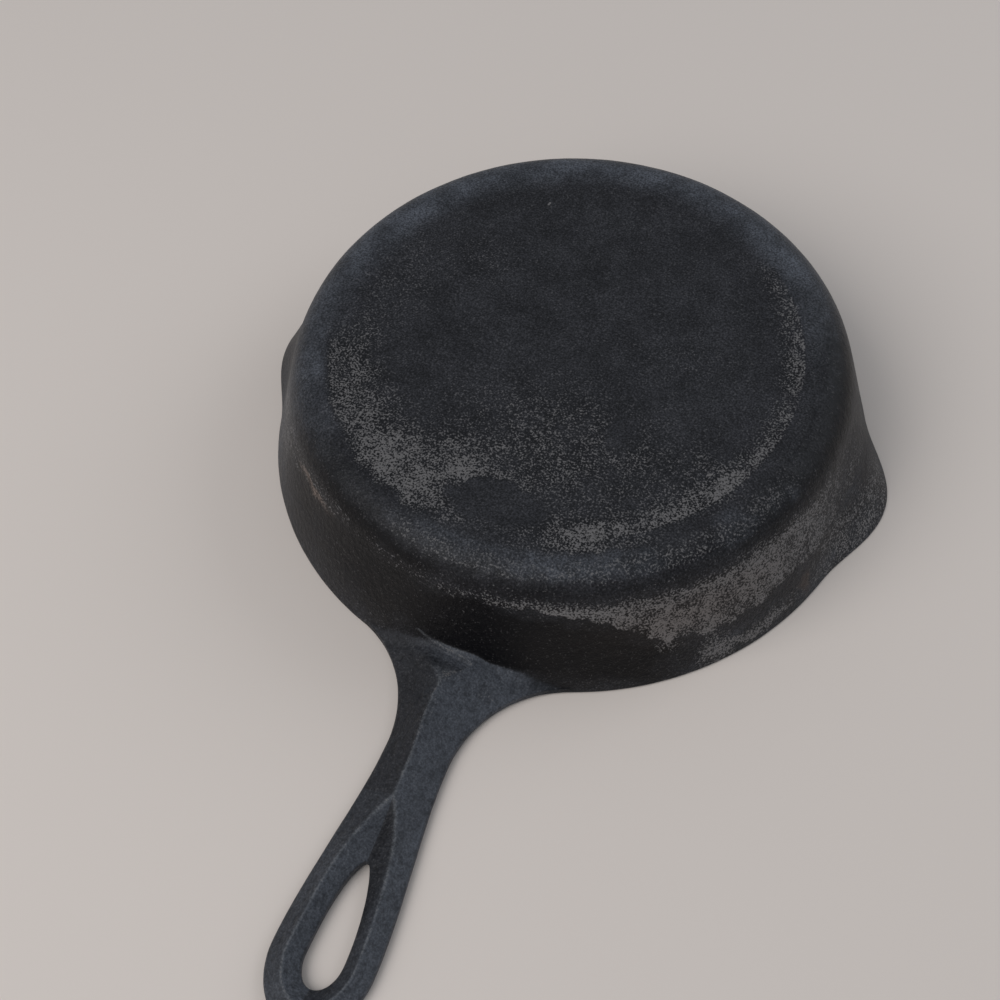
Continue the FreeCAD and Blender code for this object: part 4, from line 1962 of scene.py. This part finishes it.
    def build(self, sizes: BowlSizes) -> bpy.types.Material:
        """Make the material.

        Args:
            sizes: Sizes of the bowl that it is laid out on.

        Returns:
            The material.
        """
        material = bpy.data.materials.new(self.name)
        material.use_nodes = True
        shader = material.node_tree.nodes["Principled BSDF"]
        tree = IronTree(material.node_tree, sizes)
        grain = tree.noise(tree.place, 1 / self.grain_size, 3.0, 0.62)
        pits = tree.noise(tree.place, 1 / self.pit_size, 2.0)
        mottle = tree.noise(tree.place, 1 / self.mottle_size, 4.0, 0.6)
        wear = tree.math("MAXIMUM", self.wear(tree), 0.0)
        level = tree.linear(wear, self.worn_level - self.quiet_level, self.quiet_level)
        speckle = tree.linear(tree.minus(pits, 0.5), self.pit_specks, grain)
        below, above = self.speck_edge
        specks = tree.remap(speckle, tree.minus(level, below), tree.plus(level, above))
        specks = tree.times(specks, tree.remap(wear, *self.speck_cover))
        cover = self.shade(tree, grain, pits, mottle)
        cover = tree.scaled(cover, tree.remap(wear, *self.thin_cover))
        rust = self.rust_marks(tree)
        on_wall = tree.remap(tree.round_the_bowl(tree.place)[2], *self.wall_start, 1.0, self.wall_shine)
        metal = tree.scaled(tree.mix(rust, self.bare, self.rust), tree.by_part(on_wall, 1.0))
        colour = tree.mix(specks, cover, metal)
        colour = tree.mix(tree.times(rust, self.rust_stain), colour, self.rust)
        rough = tree.linear(specks, self.bare_roughness - self.roughness, self.roughness)
        rough = tree.linear(tree.minus(mottle, 0.5), self.uneven_roughness, rough)
        shader.inputs["Specular IOR Level"].default_value = self.specular
        tree.feed(shader.inputs["Base Color"], colour)
        tree.feed(shader.inputs["Roughness"], rough)
        tree.feed(shader.inputs["Normal"], self.relief(tree, grain, pits))
        return material


def plain_material(name: str, colour: Colour, roughness: float) -> bpy.types.Material:
    """Material of one colour.

    Args:
        name: Name of the material.
        colour: Its colour.
        roughness: Its roughness.

    Returns:
        The material.
    """
    material = bpy.data.materials.new(name)
    material.use_nodes = True
    shader = material.node_tree.nodes["Principled BSDF"]
    shader.inputs["Base Color"].default_value = (*colour, 1.0)
    shader.inputs["Roughness"].default_value = roughness
    return material


# ---------------------------------------------------------------- setting


@dataclass(frozen=True)
class Lamp:
    """Square soft light that faces the pan."""

    name: str
    place: tuple[float, float, float]
    size: float
    power: float
    colour: Colour

    def hang(self) -> None:
        """Hang the light."""
        data = bpy.data.lights.new(self.name, "AREA")
        data.shape = "SQUARE"
        data.size = self.size
        data.energy = self.power
        data.color = self.colour
        turn = (-Vector(self.place)).to_track_quat("-Z", "Y").to_matrix().to_4x4()
        new_object(self.name, data).matrix_world = Matrix.Translation(self.place) @ turn


@dataclass(frozen=True)
class Studio:
    """Camera, light and floor."""

    azimuth: float = math.radians(20.56)
    elevation: float = math.radians(53.70)
    distance: float = 0.58316
    aim: tuple[float, float, float] = (-0.00580, -0.05608, 0.026)
    roll: float = math.radians(-4.22)
    lens: float = 53.73
    sensor_width: float = 36.0
    clip_start: float = 0.01
    floor_size: float = 6.0
    floor_colour: Colour = (0.74, 0.665, 0.61)
    floor_roughness: float = 0.7
    sky_colour: Colour = (0.86, 0.92, 1.0)
    sky_strength: float = 0.32
    lamps: tuple[Lamp, ...] = (
        Lamp("overhead", (-0.72, -0.95, 1.25), 1.3, 15.2, (1.0, 0.99, 0.98)),
        Lamp("window", (0.90, 0.83, 0.86), 1.0, 4.7, (0.92, 0.96, 1.0)),
    )

    def camera(self) -> None:
        """Set the camera."""
        level = self.distance * math.cos(self.elevation)
        height = self.distance * math.sin(self.elevation)
        place = Vector((level * math.sin(self.azimuth), -level * math.cos(self.azimuth), height))
        data = bpy.data.cameras.new("camera")
        data.lens = self.lens
        data.sensor_width = self.sensor_width
        data.clip_start = self.clip_start
        turn = (Vector(self.aim) - place).to_track_quat("-Z", "Y").to_matrix().to_4x4()
        camera = new_object("camera", data)
        camera.matrix_world = Matrix.Translation(place) @ turn @ Matrix.Rotation(self.roll, 4, "Z")
        bpy.context.scene.camera = camera

    def floor(self) -> None:
        """Lay the floor."""
        half = self.floor_size / 2
        mesh = bpy.data.meshes.new("floor")
        corners = [(-half, -half, 0.0), (half, -half, 0.0), (half, half, 0.0), (-half, half, 0.0)]
        mesh.from_pydata(corners, [], [(0, 1, 2, 3)])
        mesh.materials.append(plain_material("pale_floor", self.floor_colour, self.floor_roughness))
        new_object("floor", mesh)

    def light(self) -> None:
        """Set the soft light."""
        world = bpy.data.worlds.new("soft_sky")
        world.use_nodes = True
        background = world.node_tree.nodes["Background"]
        background.inputs["Color"].default_value = (*self.sky_colour, 1.0)
        background.inputs["Strength"].default_value = self.sky_strength
        bpy.context.scene.world = world
        for lamp in self.lamps:
            lamp.hang()
        bpy.context.scene.view_settings.view_transform = "Standard"


def main() -> None:
    """Build the skillet, its finish and its setting."""
    logging.basicConfig(level=logging.INFO, format="%(name)s: %(message)s")
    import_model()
    studio = Studio()
    studio.camera()
    studio.floor()
    studio.light()
    bowl_sizes = BowlSizes.from_frame()
    finishes = {slot: IronFinish(slot.value).build(bowl_sizes) for slot in Slot}
    pieces = Bowl(bowl_sizes).build(finishes)
    pieces += Handle(HandleSizes.from_frame(), bowl_sizes).build(finishes)
    SeamShading().apply(pieces)
    for piece in pieces:
        piece.declare()


if __name__ == "__main__":
    main()
